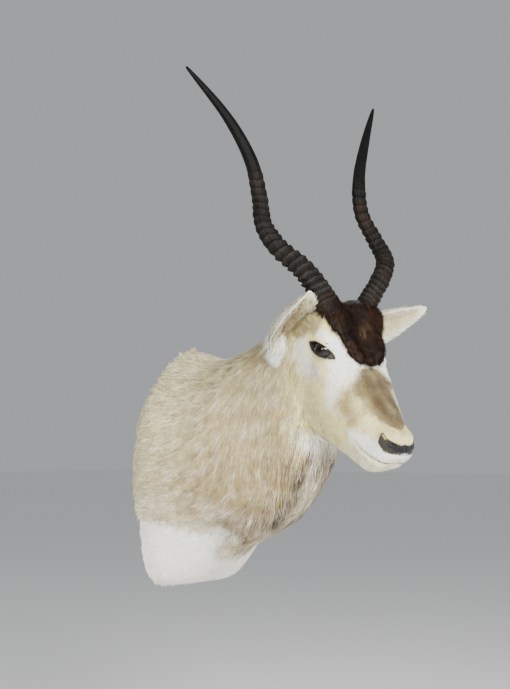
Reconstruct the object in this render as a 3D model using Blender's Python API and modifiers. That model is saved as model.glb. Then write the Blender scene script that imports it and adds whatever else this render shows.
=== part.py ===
"""An addax shoulder mount for a wall, in metres with +Z up.

The wall is the plane Y = 0 and the animal looks along -Y, with its head turned a little to its own
right, which is -X. The origin is the middle of the back board, on its back face.
"""
import math

import bmesh
import bpy
import numpy as np
from mathutils import Matrix, Vector

# The turn of the neck: the head looks HEAD_YAW to the animal's right.
# "Out" is the distance from the wall, measured along the neck's middle line.
HEAD_YAW = math.radians(14.0)
TURN_STARTS_OUT = 0.180
TURN_ENDS_OUT = 0.344
HEAD_ORIGIN_OUT = 0.3116

# Touching pieces keep this gap.
GAP = 0.0003

# The hide is a loft through these sections, from the wall to the nose.
# Each holds top out and height, bottom out and height, half width, how far up the widest place is,
# and how round the upper and the lower half are: 1 is an ellipse, less is squarer, more is pointed.
HIDE_SECTIONS = {
    "wall edge": (0.0005, 0.232, 0.0005, -0.223, 0.156, 0.50, 1.22, 0.30),
    "shoulder": (0.035, 0.224, 0.034, -0.220, 0.158, 0.49, 1.15, 0.42),
    "brisket": (0.077, 0.211, 0.076, -0.196, 0.150, 0.48, 1.05, 0.68),
    "chest": (0.125, 0.214, 0.130, -0.148, 0.134, 0.47, 1.00, 0.85),
    "neck root": (0.179, 0.233, 0.213, -0.108, 0.112, 0.47, 1.00, 0.95),
    "lower neck": (0.225, 0.252, 0.282, -0.056, 0.093, 0.50, 1.00, 1.15),
    "middle neck": (0.265, 0.266, 0.323, -0.004, 0.081, 0.55, 1.00, 1.20),
    "upper neck": (0.300, 0.277, 0.338, 0.040, 0.076, 0.60, 0.95, 1.10),
    "throat": (0.335, 0.284, 0.341, 0.058, 0.074, 0.62, 0.85, 1.05),
    "poll": (0.372, 0.284, 0.352, 0.056, 0.073, 0.65, 0.75, 1.05),
    "horn bases": (0.408, 0.270, 0.368, 0.050, 0.073, 0.66, 0.75, 1.00),
    "eyes": (0.434, 0.232, 0.390, 0.041, 0.070, 0.66, 0.70, 0.95),
    "below the eyes": (0.455, 0.192, 0.412, 0.031, 0.063, 0.64, 0.62, 0.90),
    "upper bridge": (0.478, 0.160, 0.434, 0.020, 0.055, 0.63, 0.60, 0.85),
    "lower bridge": (0.504, 0.124, 0.453, 0.010, 0.046, 0.60, 0.68, 0.80),
    "above the nostrils": (0.527, 0.091, 0.470, 0.002, 0.040, 0.56, 0.72, 0.75),
    "nostrils": (0.542, 0.069, 0.484, 0.001, 0.037, 0.55, 0.70, 0.75),
    "upper lip": (0.551, 0.053, 0.503, 0.004, 0.032, 0.55, 0.72, 0.75),
    "muzzle front": (0.555, 0.041, 0.524, 0.011, 0.024, 0.52, 0.80, 0.85),
    "muzzle end": (0.554, 0.033, 0.540, 0.021, 0.013, 0.50, 0.90, 0.90),
}
HIDE_AROUND = 32
HIDE_STEPS_PER_SECTION = 2
MUZZLE_BULGE = 0.003

# Soft swellings of the head: lateral, forward and up from the head's origin, radius and height.
HEAD_SWELLINGS = {
    "crown": (0.000, 0.092, 0.275, 0.034, 0.009),
    "horn pedicle": (0.040, 0.088, 0.262, 0.028, 0.013),
    "brow": (0.060, 0.112, 0.230, 0.020, 0.007),
    "cheekbone": (0.062, 0.112, 0.178, 0.026, 0.004),
    "nostril wing": (0.026, 0.220, 0.050, 0.016, 0.004),
    "lip corner": (0.034, 0.170, 0.036, 0.018, 0.002),
}

# Long hair ends in a hem above the smooth lower lobe.
HEM_HEIGHT = -0.098
HEM_DEPTH = 0.008
HEM_FADE = 0.018

# Ears: base middle and tip in the head's frame (left, forward, up), and which way the cup opens.
EARS = {
    "right": ((-0.061, -0.014, 0.207), (-0.096, 0.115, 0.307), (0.00, 0.80, -0.40)),
    "left": ((0.062, 0.016, 0.228), (0.167, 0.127, 0.297), (0.05, 0.80, -0.40)),
}
EAR_HALF_WIDTH = 0.043
EAR_CUP = 0.030
EAR_THICKNESS = 0.0045
EAR_STEPS = 9
EAR_AROUND = 12

# Horn path in the head's frame for the left horn: left, forward, up, from the skull to the tip.
HORN_PATH = [
    (0.020, 0.097, 0.252), (0.045, 0.096, 0.294), (0.088, 0.089, 0.347), (0.125, 0.061, 0.389),
    (0.131, 0.026, 0.434), (0.121, 0.000, 0.490), (0.130, -0.016, 0.561), (0.167, -0.040, 0.641),
    (0.227, -0.081, 0.731),
]
HORN_ROOT_RADIUS = 0.0194
HORN_MIDDLE_RADIUS = 0.0134
HORN_TIP_RADIUS = 0.0016
HORN_MIDDLE = 0.55
HORN_OVAL = 0.20
HORN_OVAL_TOWARDS = (-0.643, -0.766, 0.0)
HORN_SIDES = 11
HORN_RINGS = 21
HORN_RINGS_START = 0.085
HORN_RINGS_END = 0.60
HORN_RING_DEPTH = 0.0034
HORN_ROOT_INSET = 0.0008
HORN_TIP_STEPS = 8

# Glass eyes: the middle in the head's frame, the radius of the ball and how flat it is.
EYE_MIDDLE = (0.0605, 0.1050, 0.2090)
EYE_RADIUS = 0.0180
EYE_FLATNESS = 0.80

# Nostrils: middle in the head's frame, length, width and depth of the hollow.
NOSTRIL_MIDDLE = (0.0235, 0.2250, 0.0500)
NOSTRIL_SIZE = (0.0110, 0.0055, 0.0120)

# The back board, its outline held in from the hide's wall edge, and the hole behind the hanger.
BOARD_THICKNESS = 0.018
BOARD_INSET = 0.018
BOARD_POINTS = 36
BOARD_HOLE = (0.036, 0.052)
POCKET_OVERCUT = 0.010
HANGER_HEIGHT = 0.120

# The steel hanger plate: width, height, thickness, its keyhole and its two screws.
PLATE_SIZE = (0.072, 0.064, 0.0020)
KEYHOLE_RADIUS = 0.0060
KEYHOLE_SLOT_HALF_WIDTH = 0.0028
KEYHOLE_SLOT_LENGTH = 0.016
SCREW_OFFSET = 0.0265
SCREW_HEAD_RADIUS = 0.0042
SCREW_HEAD_HEIGHT = 0.0012
SCREW_SHANK_RADIUS = 0.0017
SCREW_POINT_LENGTH = 0.004
SCREW_LENGTH = 0.013

# Fused locks: length, half width and how far they lift from the skin. Every other one is longer.
LOCK_SIDES = 3
LOCK_ROUNDS_AT = (0.0, 0.40, 0.80)
LOCK_ROUNDS = (0.85, 1.00, 0.52)
LOCK_EXTRA_LENGTH = 0.010
MANE_LOCK = (0.056, 0.0095, 0.006)
HEM_LOCK = (0.044, 0.0110, 0.004)
WALL_LOCK = (0.036, 0.0085, 0.004)
NAPE_LOCK = (0.040, 0.0080, 0.003)
TUFT_LOCK = (0.030, 0.0105, 0.007)
TUFT_TOP_SPREAD = 0.12
TUFT_SPREAD_GAIN = 0.07


def clear_scene():
    """Remove every object and collection that the file opened with."""
    for thing in list(bpy.data.objects):
        bpy.data.objects.remove(thing, do_unlink=True)
    for group in list(bpy.data.collections):
        bpy.data.collections.remove(group)


def make_collection(name):
    """Return a new collection linked to the scene."""
    group = bpy.data.collections.new(name)
    bpy.context.scene.collection.children.link(group)
    return group


def make_material(name, colour, roughness, metallic=0.0):
    """Return a Principled material."""
    material = bpy.data.materials.new(name)
    material.use_nodes = True
    shader = material.node_tree.nodes["Principled BSDF"]
    shader.inputs["Base Color"].default_value = (*colour, 1.0)
    shader.inputs["Roughness"].default_value = roughness
    shader.inputs["Metallic"].default_value = metallic
    return material


def make_object(name, mesh, group, material=None):
    """Return an object of this mesh in the collection."""
    thing = bpy.data.objects.new(name, mesh)
    group.objects.link(thing)
    if material:
        mesh.materials.append(material)
    return thing


def hide_from_view(thing):
    """Mark a cutter or a joined shape as a guide."""
    thing.hide_render = True
    thing.display_type = "WIRE"


def smoothstep(low, high, value):
    """Rise from 0 at low to 1 at high with level ends."""
    t = np.clip((np.asarray(value) - low) / (high - low), 0.0, 1.0)
    return t * t * (3.0 - 2.0 * t)


def spline(values, places):
    """Read a Catmull-Rom curve through the rows of values at fractional row numbers."""
    values = np.asarray(values, dtype=float)
    last = len(values) - 1
    places = np.clip(np.asarray(places, dtype=float), 0.0, last)
    row = np.minimum(places.astype(int), last - 1)
    t = (places - row)[:, None]
    before = values[np.maximum(row - 1, 0)]
    here = values[row]
    there = values[row + 1]
    after = values[np.minimum(row + 2, last)]
    return 0.5 * (2.0 * here + (there - before) * t
                  + (2.0 * before - 5.0 * here + 4.0 * there - after) * t ** 2
                  + (3.0 * here - before - 3.0 * there + after) * t ** 3)


def bend(out, lateral, up):
    """Place points of the straight animal on the turned one.

    The middle line runs straight out from the wall, turns on a circle and runs straight on.
    """
    out = np.asarray(out, dtype=float)
    radius = (TURN_ENDS_OUT - TURN_STARTS_OUT) / HEAD_YAW
    yaw = np.clip((out - TURN_STARTS_OUT) / radius, 0.0, HEAD_YAW)
    before = np.minimum(out, TURN_STARTS_OUT)
    beyond = np.maximum(out - TURN_ENDS_OUT, 0.0)
    side = -radius * (1.0 - np.cos(yaw)) - beyond * np.sin(yaw)
    reach = before + radius * np.sin(yaw) + beyond * np.cos(yaw)
    return np.stack([side + lateral * np.cos(yaw), -reach - lateral * np.sin(yaw), up + 0.0 * out],
                    axis=-1)


def head_frame():
    """Return the head's origin and its left, forward and up directions."""
    turn_middle = 0.5 * (TURN_STARTS_OUT + TURN_ENDS_OUT)
    forward = np.array([-math.sin(HEAD_YAW), -math.cos(HEAD_YAW), 0.0])
    left = np.array([math.cos(HEAD_YAW), -math.sin(HEAD_YAW), 0.0])
    origin = np.array([0.0, -turn_middle, 0.0]) + forward * (HEAD_ORIGIN_OUT - turn_middle)
    return origin, left, forward, np.array([0.0, 0.0, 1.0])


def on_head(point):
    """Place a point given as left, forward and up in the head's frame."""
    origin, left, forward, up = head_frame()
    point = np.asarray(point, dtype=float)
    return origin + point[..., 0:1] * left + point[..., 1:2] * forward + point[..., 2:3] * up


def along_head(direction):
    """Turn a direction of the head's frame into the model's."""
    origin = head_frame()[0]
    turned = on_head(direction) - origin
    return turned / np.linalg.norm(turned)


def hide_ring(place, angles):
    """Points of the hide at one place along the sections, at angles from the top round the left."""
    row = spline(list(HIDE_SECTIONS.values()), [place])[0]
    top_out, top_up, bottom_out, bottom_up, half_width, widest, round_top, round_bottom = row
    rise = 0.5 * (1.0 + np.cos(angles))
    control = 2.0 * (widest - 0.25)
    share = 2.0 * rise * (1.0 - rise) * control + rise ** 2
    power = np.where(np.cos(angles) > 0.0, round_top, round_bottom)
    lateral = half_width * np.sign(np.sin(angles)) * np.abs(np.sin(angles)) ** power
    out = bottom_out + (top_out - bottom_out) * share
    up = bottom_up + (top_up - bottom_up) * share
    middle = (0.5 * (top_out + bottom_out), 0.5 * (top_up + bottom_up))
    return out, lateral, up, middle


def swell(out, lateral, up, middle):
    """Push points away from their section's middle at the head's swellings and under the hem."""
    forward = out - HEAD_ORIGIN_OUT
    away = np.stack([lateral, out - middle[0], up - middle[1]], axis=-1)
    away /= np.maximum(np.linalg.norm(away, axis=-1, keepdims=True), 1e-6)
    push = np.zeros_like(out)
    for side, ahead, height, radius, amount in HEAD_SWELLINGS.values():
        distance = (np.abs(lateral) - side) ** 2 + (forward - ahead) ** 2 + (up - height) ** 2
        push += amount * np.exp(-distance / radius ** 2)
    step = smoothstep(HEM_HEIGHT + HEM_FADE * 0.5, HEM_HEIGHT - HEM_FADE * 0.5, up)
    fill = smoothstep(HEM_HEIGHT - 0.03, HEM_HEIGHT - 0.10, up)
    push -= HEM_DEPTH * step * (1.0 - fill)
    away[:, 1] *= smoothstep(0.0, 0.02, out)
    return out + push * away[:, 1], lateral + push * away[:, 0], up + push * away[:, 2]


def hide_surface(place, angles):
    """Points of the finished skin at one place along the sections."""
    return bend(*swell(*hide_ring(place, angles)))


def hide_point(place, angle):
    """One point of the skin, and its outward normal."""
    step = 0.01
    angles = np.array([angle - step, angle, angle + step])
    ring = hide_surface(place, angles)
    ahead = hide_surface(place + step, angles)
    normal = np.cross(ahead[1] - ring[1], ring[2] - ring[0])
    return ring[1], normal / np.linalg.norm(normal)


def loft_mesh(name, rings, start_pole=None, end_pole=None):
    """Mesh a row of closed rings, each end closed by a flat face or by a fan to its pole."""
    rings = np.asarray(rings, dtype=float)
    around = rings.shape[1]
    shape = bmesh.new()
    rows = [[shape.verts.new(point) for point in ring] for ring in rings]
    for low, high in zip(rows[:-1], rows[1:]):
        for k in range(around):
            after = (k + 1) % around
            shape.faces.new((low[k], low[after], high[after], high[k]))
    for row, pole in ((rows[0], start_pole), (rows[-1], end_pole)):
        if pole is None:
            shape.faces.new(row)
            continue
        tip = shape.verts.new(pole)
        for k in range(around):
            shape.faces.new((row[k], row[(k + 1) % around], tip))
    bmesh.ops.recalc_face_normals(shape, faces=shape.faces)
    mesh = bpy.data.meshes.new(name)
    shape.to_mesh(mesh)
    shape.free()
    mesh.shade_smooth()
    mesh.set_sharp_from_angle(angle=math.radians(50.0))
    return mesh


def make_skin():
    """The hide's main body, from the flat rim at the wall to the muzzle."""
    angles = np.linspace(0.0, 2.0 * math.pi, HIDE_AROUND, endpoint=False)
    last = len(HIDE_SECTIONS) - 1
    places = np.linspace(0.0, last, last * HIDE_STEPS_PER_SECTION + 1)
    rings = [hide_surface(place, angles) for place in places]
    nose = rings[-1].mean(axis=0) + along_head((0.0, 1.0, -0.6)) * MUZZLE_BULGE
    return loft_mesh("hide", rings, end_pole=nose)


def frames_along(path, reference):
    """Directions along a path and two directions across it, the first kept close to reference."""
    path = np.asarray(path)
    tangent = np.gradient(path, axis=0)
    tangent /= np.linalg.norm(tangent, axis=1, keepdims=True)
    first = reference - (tangent @ reference)[:, None] * tangent
    first /= np.linalg.norm(first, axis=1, keepdims=True)
    return tangent, first, np.cross(tangent, first)


def tube_rings(path, radii, sides, oval=1.0, reference=(0.0, -1.0, 0.0)):
    """Rings of a tube whose radius changes along its path, widened by oval towards reference."""
    tangent, first, second = frames_along(path, np.asarray(reference, dtype=float))
    angles = np.linspace(0.0, 2.0 * math.pi, sides, endpoint=False)
    oval = np.broadcast_to(oval, (len(path),))[:, None, None]
    round_first = np.cos(angles)[None, :, None] * first[:, None, :] * oval
    round_second = np.sin(angles)[None, :, None] * second[:, None, :]
    radii = np.asarray(radii)[:, None, None]
    return np.asarray(path)[:, None, :] + radii * (round_first + round_second)


def horn_curve(side, places):
    """Points of one horn's middle line at fractions 0 to 1 of its length."""
    path = np.array(HORN_PATH)
    path[:, 0] *= side
    fine = spline(path, np.linspace(0.0, len(path) - 1, 400))
    travelled = np.concatenate([[0.0], np.cumsum(np.linalg.norm(np.diff(fine, axis=0), axis=1))])
    travelled /= travelled[-1]
    places = np.asarray(places)
    read = [np.interp(places, travelled, fine[:, axis]) for axis in range(3)]
    return on_head(np.stack(read, axis=-1))


def horn_radius(place):
    """Plain radius of a horn at a fraction of its length: it narrows gently, then to the tip."""
    place = np.asarray(place)
    below = np.clip(1.0 - place / HORN_MIDDLE, 0.0, 1.0)
    above = np.clip((1.0 - place) / (1.0 - HORN_MIDDLE), 0.0, 1.0)
    lower = HORN_MIDDLE_RADIUS + (HORN_ROOT_RADIUS - HORN_MIDDLE_RADIUS) * below ** 1.6
    upper = HORN_TIP_RADIUS + (HORN_MIDDLE_RADIUS - HORN_TIP_RADIUS) * above ** 0.62
    return np.where(place < HORN_MIDDLE, lower, upper)


def horn_tube(side, places, radii):
    """Rings of one horn, oval at the root and round from the middle up."""
    oval = 1.0 + HORN_OVAL * np.clip(1.0 - np.asarray(places) / HORN_MIDDLE, 0.0, 1.0)
    towards = np.array(HORN_OVAL_TOWARDS) * (side, 1.0, 1.0)
    return tube_rings(horn_curve(side, places), radii, HORN_SIDES, oval, towards)


def horn_rings_profile():
    """Places and radii of a horn: saw-toothed ledges over the lower part, then a smooth tip."""
    places = [0.0, 0.04]
    radii = list(horn_radius(np.array(places)) - HORN_ROOT_INSET)
    share = np.linspace(0.0, 1.0, HORN_RINGS + 1)
    starts = HORN_RINGS_START + (HORN_RINGS_END - HORN_RINGS_START) * share ** 1.2
    for ring in range(HORN_RINGS):
        start = starts[ring]
        pitch = starts[ring + 1] - start
        depth = HORN_RING_DEPTH * min(1.0, 0.55 + 2.5 * share[ring]) * (1.0 - 0.7 * share[ring] ** 2)
        plain = float(horn_radius(start))
        places += [start, start + 0.66 * pitch]
        radii += [plain - 0.55 * depth, plain + 0.45 * depth]
    for place in np.linspace(HORN_RINGS_END, 0.985, HORN_TIP_STEPS):
        places.append(place)
        radii.append(float(horn_radius(place)))
    return np.array(places), np.array(radii)


def make_horn(side, name, group, material):
    """One ringed horn, from its seat in the hide to its tip."""
    places, radii = horn_rings_profile()
    mesh = loft_mesh(name, horn_tube(side, places, radii), end_pole=horn_curve(side, [1.0])[0])
    return make_object(name, mesh, group, material)


def make_horn_seat(side, group):
    """The hollow that a horn's root sits in."""
    places = np.array([0.0, 0.04, HORN_RINGS_START - 0.01, 0.10, 0.13, 0.16])
    radii = horn_radius(places) - HORN_ROOT_INSET + GAP
    radii[2:] += 0.8 * HORN_RING_DEPTH
    rings = horn_tube(side, places, radii)
    rings[0] += (rings[0] - rings[1]) / np.linalg.norm(rings[0] - rings[1], axis=1)[:, None] * GAP
    mesh = loft_mesh("horn seat", rings)
    seat = make_object("horn seat", mesh, group)
    hide_from_view(seat)


def make_ear(side, group):
    """One cupped ear: crescent sections from its root inside the head to its pointed tip."""
    base, tip, opening = EARS[side]
    base = on_head(np.array(base))
    tip = on_head(np.array(tip))
    axis = tip - base
    length = np.linalg.norm(axis)
    axis /= length
    facing = along_head(np.array(opening))
    facing -= axis * (facing @ axis)
    facing /= np.linalg.norm(facing)
    across = np.cross(axis, facing)
    steps = np.linspace(-0.12, 0.97, EAR_STEPS)
    angles = np.linspace(0.0, 2.0 * math.pi, EAR_AROUND, endpoint=False)
    rings = []
    for t in steps:
        width = EAR_HALF_WIDTH * (0.42 + 0.58 * smoothstep(-0.1, 0.38, t))
        width *= max(1.0 - max(t - 0.30, 0.0) ** 1.7 / 0.70 ** 1.7, 0.0) ** 0.75 + 0.02
        cup = EAR_CUP * (1.0 - smoothstep(0.35, 1.0, t)) + 0.004
        thick = EAR_THICKNESS * (1.0 + 1.6 * smoothstep(0.25, -0.1, t))
        share = np.cos(angles)
        depth = -cup * (1.0 - share ** 2) + thick * 0.5 * np.sin(angles)
        sweep = length * t + 0.0 * angles
        ring = base + np.outer(sweep, axis) + np.outer(share * width, across) + np.outer(depth, facing)
        rings.append(ring)
    mesh = loft_mesh(side + " ear", rings, end_pole=tip)
    ear = make_object(side + " ear", mesh, group)
    hide_from_view(ear)


def make_lock(root, normal, flow, size, longer, group):
    """One tapered lock of hair that leaves the skin along flow and lies close to it."""
    length, width, lift = size
    length += LOCK_EXTRA_LENGTH * longer
    flow = np.asarray(flow, dtype=float)
    along = flow - normal * (flow @ normal)
    along /= np.linalg.norm(along)
    t = np.array(LOCK_ROUNDS_AT)
    start = root - normal * width * 0.55 - along * length * 0.15
    rise = lift * np.sin(0.5 * math.pi * np.minimum(1.0, 1.2 * t))
    path = start + np.outer(t * length * 1.15, along) + np.outer(rise + width * 0.5 * t, normal)
    radii = width * np.array(LOCK_ROUNDS)
    tip = path[-1] + (path[-1] - path[-2]) * 0.55
    rings = tube_rings(path, radii, LOCK_SIDES, 0.75, reference=tuple(normal))
    lock = make_object("lock", loft_mesh("lock", rings, end_pole=tip), group)
    hide_from_view(lock)


def make_locks(group):
    """Every fused lock: the mane, the hem, the wall edge, the nape and the forehead tuft."""
    down = np.array([0.0, 0.0, -1.0])
    for row, place in enumerate(np.linspace(4.0, 6.9, 6)):
        for column in (-1, 0, 1):
            root, normal = hide_point(place + 0.16 * abs(column), math.pi + 0.32 * column)
            flow = down + np.array([0.0, 0.35, 0.0])
            make_lock(root, normal, flow, MANE_LOCK, (row + column) % 2, group)
    for side in (-1, 1):
        for k, place in enumerate(np.linspace(0.6, 3.8, 7)):
            angle = hem_angle(place)
            root, normal = hide_point(place, side * angle)
            make_lock(root, normal, down + np.array([0.0, 0.10, 0.0]), HEM_LOCK, k % 2, group)
        for k, angle in enumerate(np.linspace(0.45, 1.70, 5)):
            root, normal = hide_point(0.30, side * angle)
            flow = down + np.array([side * 0.5, 0.0, 0.0])
            make_lock(root, normal, flow, WALL_LOCK, k % 2, group)
    for place in np.linspace(2.6, 6.6, 4):
        root, normal = hide_point(place, 0.0)
        make_lock(root, normal, (0.0, 1.0, -0.2), NAPE_LOCK, 0, group)
    for row, place in enumerate(np.linspace(10.75, 11.60, 4)):
        for column in (-1.5, -0.5, 0.5, 1.5):
            root, normal = hide_point(place, (TUFT_TOP_SPREAD + TUFT_SPREAD_GAIN * row) * column)
            flow = along_head((0.25 * column, 0.25, -1.0))
            make_lock(root, normal, flow, TUFT_LOCK, 0.4 * (row % 2), group)


def hem_angle(place):
    """The angle at which the skin crosses the hem's height at this place along the sections."""
    angles = np.linspace(0.5 * math.pi, math.pi, 60)
    heights = hide_surface(place, angles)[:, 2]
    return float(np.interp(-(HEM_HEIGHT + 0.014), -heights, angles))


def make_ball(name, middle, radii, facing, group, material=None):
    """A sphere pressed to three radii, its last radius along facing."""
    shape = bmesh.new()
    bmesh.ops.create_uvsphere(shape, u_segments=14, v_segments=7, radius=1.0)
    turn = Vector(facing).to_track_quat("Z", "Y").to_matrix().to_4x4()
    scale = Matrix.Diagonal((*radii, 1.0))
    bmesh.ops.transform(shape, matrix=Matrix.Translation(middle) @ turn @ scale, verts=shape.verts)
    mesh = bpy.data.meshes.new(name)
    shape.to_mesh(mesh)
    shape.free()
    mesh.shade_smooth()
    return make_object(name, mesh, group, material)


def eye_place(side):
    """The middle of an eye and the direction it looks."""
    middle = on_head(np.array([side * EYE_MIDDLE[0], *EYE_MIDDLE[1:]]))
    return middle, along_head(np.array([side * 0.88, 0.42, 0.10]))


def make_eye(side, name, group, material):
    """One glass eye."""
    middle, facing = eye_place(side)
    radii = (EYE_RADIUS, EYE_RADIUS, EYE_RADIUS * EYE_FLATNESS)
    return make_ball(name, middle, radii, facing, group, material)


def make_head_hollows(group):
    """The sockets of the eyes and the hollows of the nostrils."""
    for side in (-1, 1):
        middle, facing = eye_place(side)
        radii = (EYE_RADIUS + GAP, EYE_RADIUS + GAP, EYE_RADIUS * EYE_FLATNESS + GAP)
        hide_from_view(make_ball("eye socket", middle, radii, facing, group))
        nostril = on_head(np.array([side * NOSTRIL_MIDDLE[0], *NOSTRIL_MIDDLE[1:]]))
        facing = along_head(np.array([side * 0.9, 0.25, -0.55]))
        hide_from_view(make_ball("nostril", nostril, NOSTRIL_SIZE, facing, group))


def board_outline(extra=0.0):
    """The board's outline: the hide's wall edge, drawn in towards the middle."""
    angles = np.linspace(0.0, 2.0 * math.pi, BOARD_POINTS, endpoint=False)
    lateral, up = hide_ring(0.0, angles)[1:3]
    width = HIDE_SECTIONS["wall edge"][4]
    height = HIDE_SECTIONS["wall edge"][1]
    inset = BOARD_INSET - extra
    return lateral * (width - inset) / width, up * (height - inset) / height


def make_slab(name, lateral, up, near, far, group, material=None):
    """A flat outline in X and Z, solid between two distances from the wall."""
    rings = [np.stack([lateral, 0.0 * lateral - y, up], axis=-1) for y in (near, far)]
    return make_object(name, loft_mesh(name, rings), group, material)


def make_box(name, middle, size, group):
    """A box by its middle and its size."""
    shape = bmesh.new()
    bmesh.ops.create_cube(shape, size=1.0)
    place = Matrix.Translation(middle) @ Matrix.Diagonal((*size, 1.0))
    bmesh.ops.transform(shape, matrix=place, verts=shape.verts)
    mesh = bpy.data.meshes.new(name)
    shape.to_mesh(mesh)
    shape.free()
    return make_object(name, mesh, group)


def make_rod(name, middle, radius, length, group, sides=24):
    """A round rod along Y by its middle."""
    shape = bmesh.new()
    bmesh.ops.create_cone(shape, cap_ends=True, segments=sides, radius1=radius, radius2=radius,
                          depth=length)
    place = Matrix.Translation(middle) @ Matrix.Rotation(0.5 * math.pi, 4, "X")
    bmesh.ops.transform(shape, matrix=place, verts=shape.verts)
    mesh = bpy.data.meshes.new(name)
    shape.to_mesh(mesh)
    shape.free()
    return make_object(name, mesh, group)


def add_boolean(thing, operation, other=None, collection=None):
    """Cut or join with the exact solver."""
    change = thing.modifiers.new(operation.lower(), "BOOLEAN")
    change.operation = operation
    change.solver = "EXACT"
    if collection:
        change.operand_type = "COLLECTION"
        change.collection = collection
    else:
        change.object = other


def make_board(parts, cutters, material):
    """The plywood board, with the hole behind the hanger and a shallow seat for its plate."""
    lateral, up = board_outline()
    board = make_slab("back_board", lateral, up, 0.0, BOARD_THICKNESS, parts, material)
    width, height, thickness = PLATE_SIZE
    seat_depth = thickness + 2.0 * GAP
    hole = make_box("board hole", (0.0, -0.5 * BOARD_THICKNESS, HANGER_HEIGHT),
                    (BOARD_HOLE[0], BOARD_THICKNESS * 1.5, BOARD_HOLE[1]), cutters)
    seat = make_box("plate seat", (0.0, 0.0, HANGER_HEIGHT),
                    (width + 2.0 * GAP, 2.0 * seat_depth, height + 2.0 * GAP), cutters)
    cuts = [hole, seat]
    for side in (-1, 1):
        cuts.append(make_rod("screw bore", (side * SCREW_OFFSET, -0.5 * SCREW_LENGTH, HANGER_HEIGHT),
                             SCREW_SHANK_RADIUS + GAP, SCREW_LENGTH + 2.0 * GAP, cutters, 12))
    for cut in cuts:
        hide_from_view(cut)
        add_boolean(board, "DIFFERENCE", cut)
    return board


def make_plate(parts, cutters, material):
    """The steel hanger plate with its keyhole: a round hole, with a slot above it."""
    width, height, thickness = PLATE_SIZE
    middle_y = -GAP - 0.5 * thickness
    plate = make_box("hanger_plate", (0.0, middle_y, HANGER_HEIGHT), (width, thickness, height), parts)
    plate.data.materials.append(material)
    low = HANGER_HEIGHT - 0.5 * KEYHOLE_SLOT_LENGTH
    high = HANGER_HEIGHT + 0.5 * KEYHOLE_SLOT_LENGTH
    deep = 3.0 * thickness
    cuts = [
        make_rod("keyhole round", (0.0, middle_y, low), KEYHOLE_RADIUS, deep, cutters, 20),
        make_rod("keyhole end", (0.0, middle_y, high), KEYHOLE_SLOT_HALF_WIDTH, deep * 1.1, cutters, 12),
        make_box("keyhole slot", (0.0, middle_y, HANGER_HEIGHT),
                 (2.0 * KEYHOLE_SLOT_HALF_WIDTH, deep * 1.2, KEYHOLE_SLOT_LENGTH), cutters),
    ]
    for side in (-1, 1):
        place = (side * SCREW_OFFSET, middle_y, HANGER_HEIGHT)
        cuts.append(make_rod("screw hole", place, SCREW_SHANK_RADIUS + GAP, deep, cutters, 12))
        place = (side * SCREW_OFFSET, -GAP, HANGER_HEIGHT)
        cuts.append(make_rod("screw sink", place, SCREW_HEAD_RADIUS + GAP, 2.0 * SCREW_HEAD_HEIGHT,
                             cutters, 16))
    for cut in cuts:
        hide_from_view(cut)
        add_boolean(plate, "DIFFERENCE", cut)
    return plate


def make_screw(side, name, parts, material):
    """One flat-headed screw: a turned profile about its own axis, pointing away from the wall."""
    under = -SCREW_HEAD_HEIGHT + GAP
    profile = [(0.0, 0.0), (SCREW_HEAD_RADIUS * 0.9, 0.0), (SCREW_HEAD_RADIUS, -GAP),
               (SCREW_HEAD_RADIUS, under), (SCREW_SHANK_RADIUS, under),
               (SCREW_SHANK_RADIUS, -SCREW_LENGTH + SCREW_POINT_LENGTH), (0.0, -SCREW_LENGTH + 2.0 * GAP)]
    mesh = bpy.data.meshes.new(name)
    points = [(radius, 0.0, height) for radius, height in profile]
    mesh.from_pydata(points, [(k, k + 1) for k in range(len(points) - 1)], [])
    screw = make_object(name, mesh, parts, material)
    screw.location = (side * SCREW_OFFSET, -GAP, HANGER_HEIGHT)
    screw.rotation_euler = (-0.5 * math.pi, 0.0, 0.0)
    turn = screw.modifiers.new("turn", "SCREW")
    turn.axis = "Z"
    turn.steps = 12
    turn.render_steps = 12
    turn.use_merge_vertices = True
    turn.merge_threshold = 0.00001
    turn.use_smooth_shade = True
    return screw


def make_hide(parts, joined, hollows, material):
    """The whole hide: the skin, its ears and locks in one, then its hollows cut."""
    hide = make_object("hide", make_skin(), parts, material)
    make_ear("right", joined)
    make_ear("left", joined)
    make_locks(joined)
    for side in (-1, 1):
        make_horn_seat(side, hollows)
    make_head_hollows(hollows)
    lateral, up = board_outline(GAP)
    pocket = make_slab("board pocket", lateral, up, -POCKET_OVERCUT, BOARD_THICKNESS + GAP, hollows)
    hide_from_view(pocket)
    add_boolean(hide, "UNION", collection=joined)
    add_boolean(hide, "DIFFERENCE", collection=hollows)
    return hide


def build():
    """Make the whole mount."""
    clear_scene()
    parts = make_collection("addax_shoulder_mount")
    joined = make_collection("joined to the hide")
    hollows = make_collection("hollows of the hide")
    cutters = make_collection("cutters")
    fur = make_material("fur", (0.66, 0.59, 0.46), 0.85)
    horn = make_material("horn", (0.075, 0.060, 0.050), 0.45)
    glass = make_material("eye glass", (0.015, 0.011, 0.009), 0.05)
    plywood = make_material("plywood", (0.55, 0.40, 0.24), 0.70)
    steel = make_material("steel", (0.60, 0.60, 0.58), 0.35, 1.0)
    make_hide(parts, joined, hollows, fur)
    for side, word in ((-1, "right"), (1, "left")):
        make_horn(side, "horn_" + word, parts, horn)
        make_eye(side, "eye_" + word, parts, glass)
    make_board(parts, cutters, plywood)
    make_plate(parts, cutters, steel)
    for side, word in ((-1, "right"), (1, "left")):
        make_screw(side, "hanger_screw_" + word, parts, steel)


build()
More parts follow.
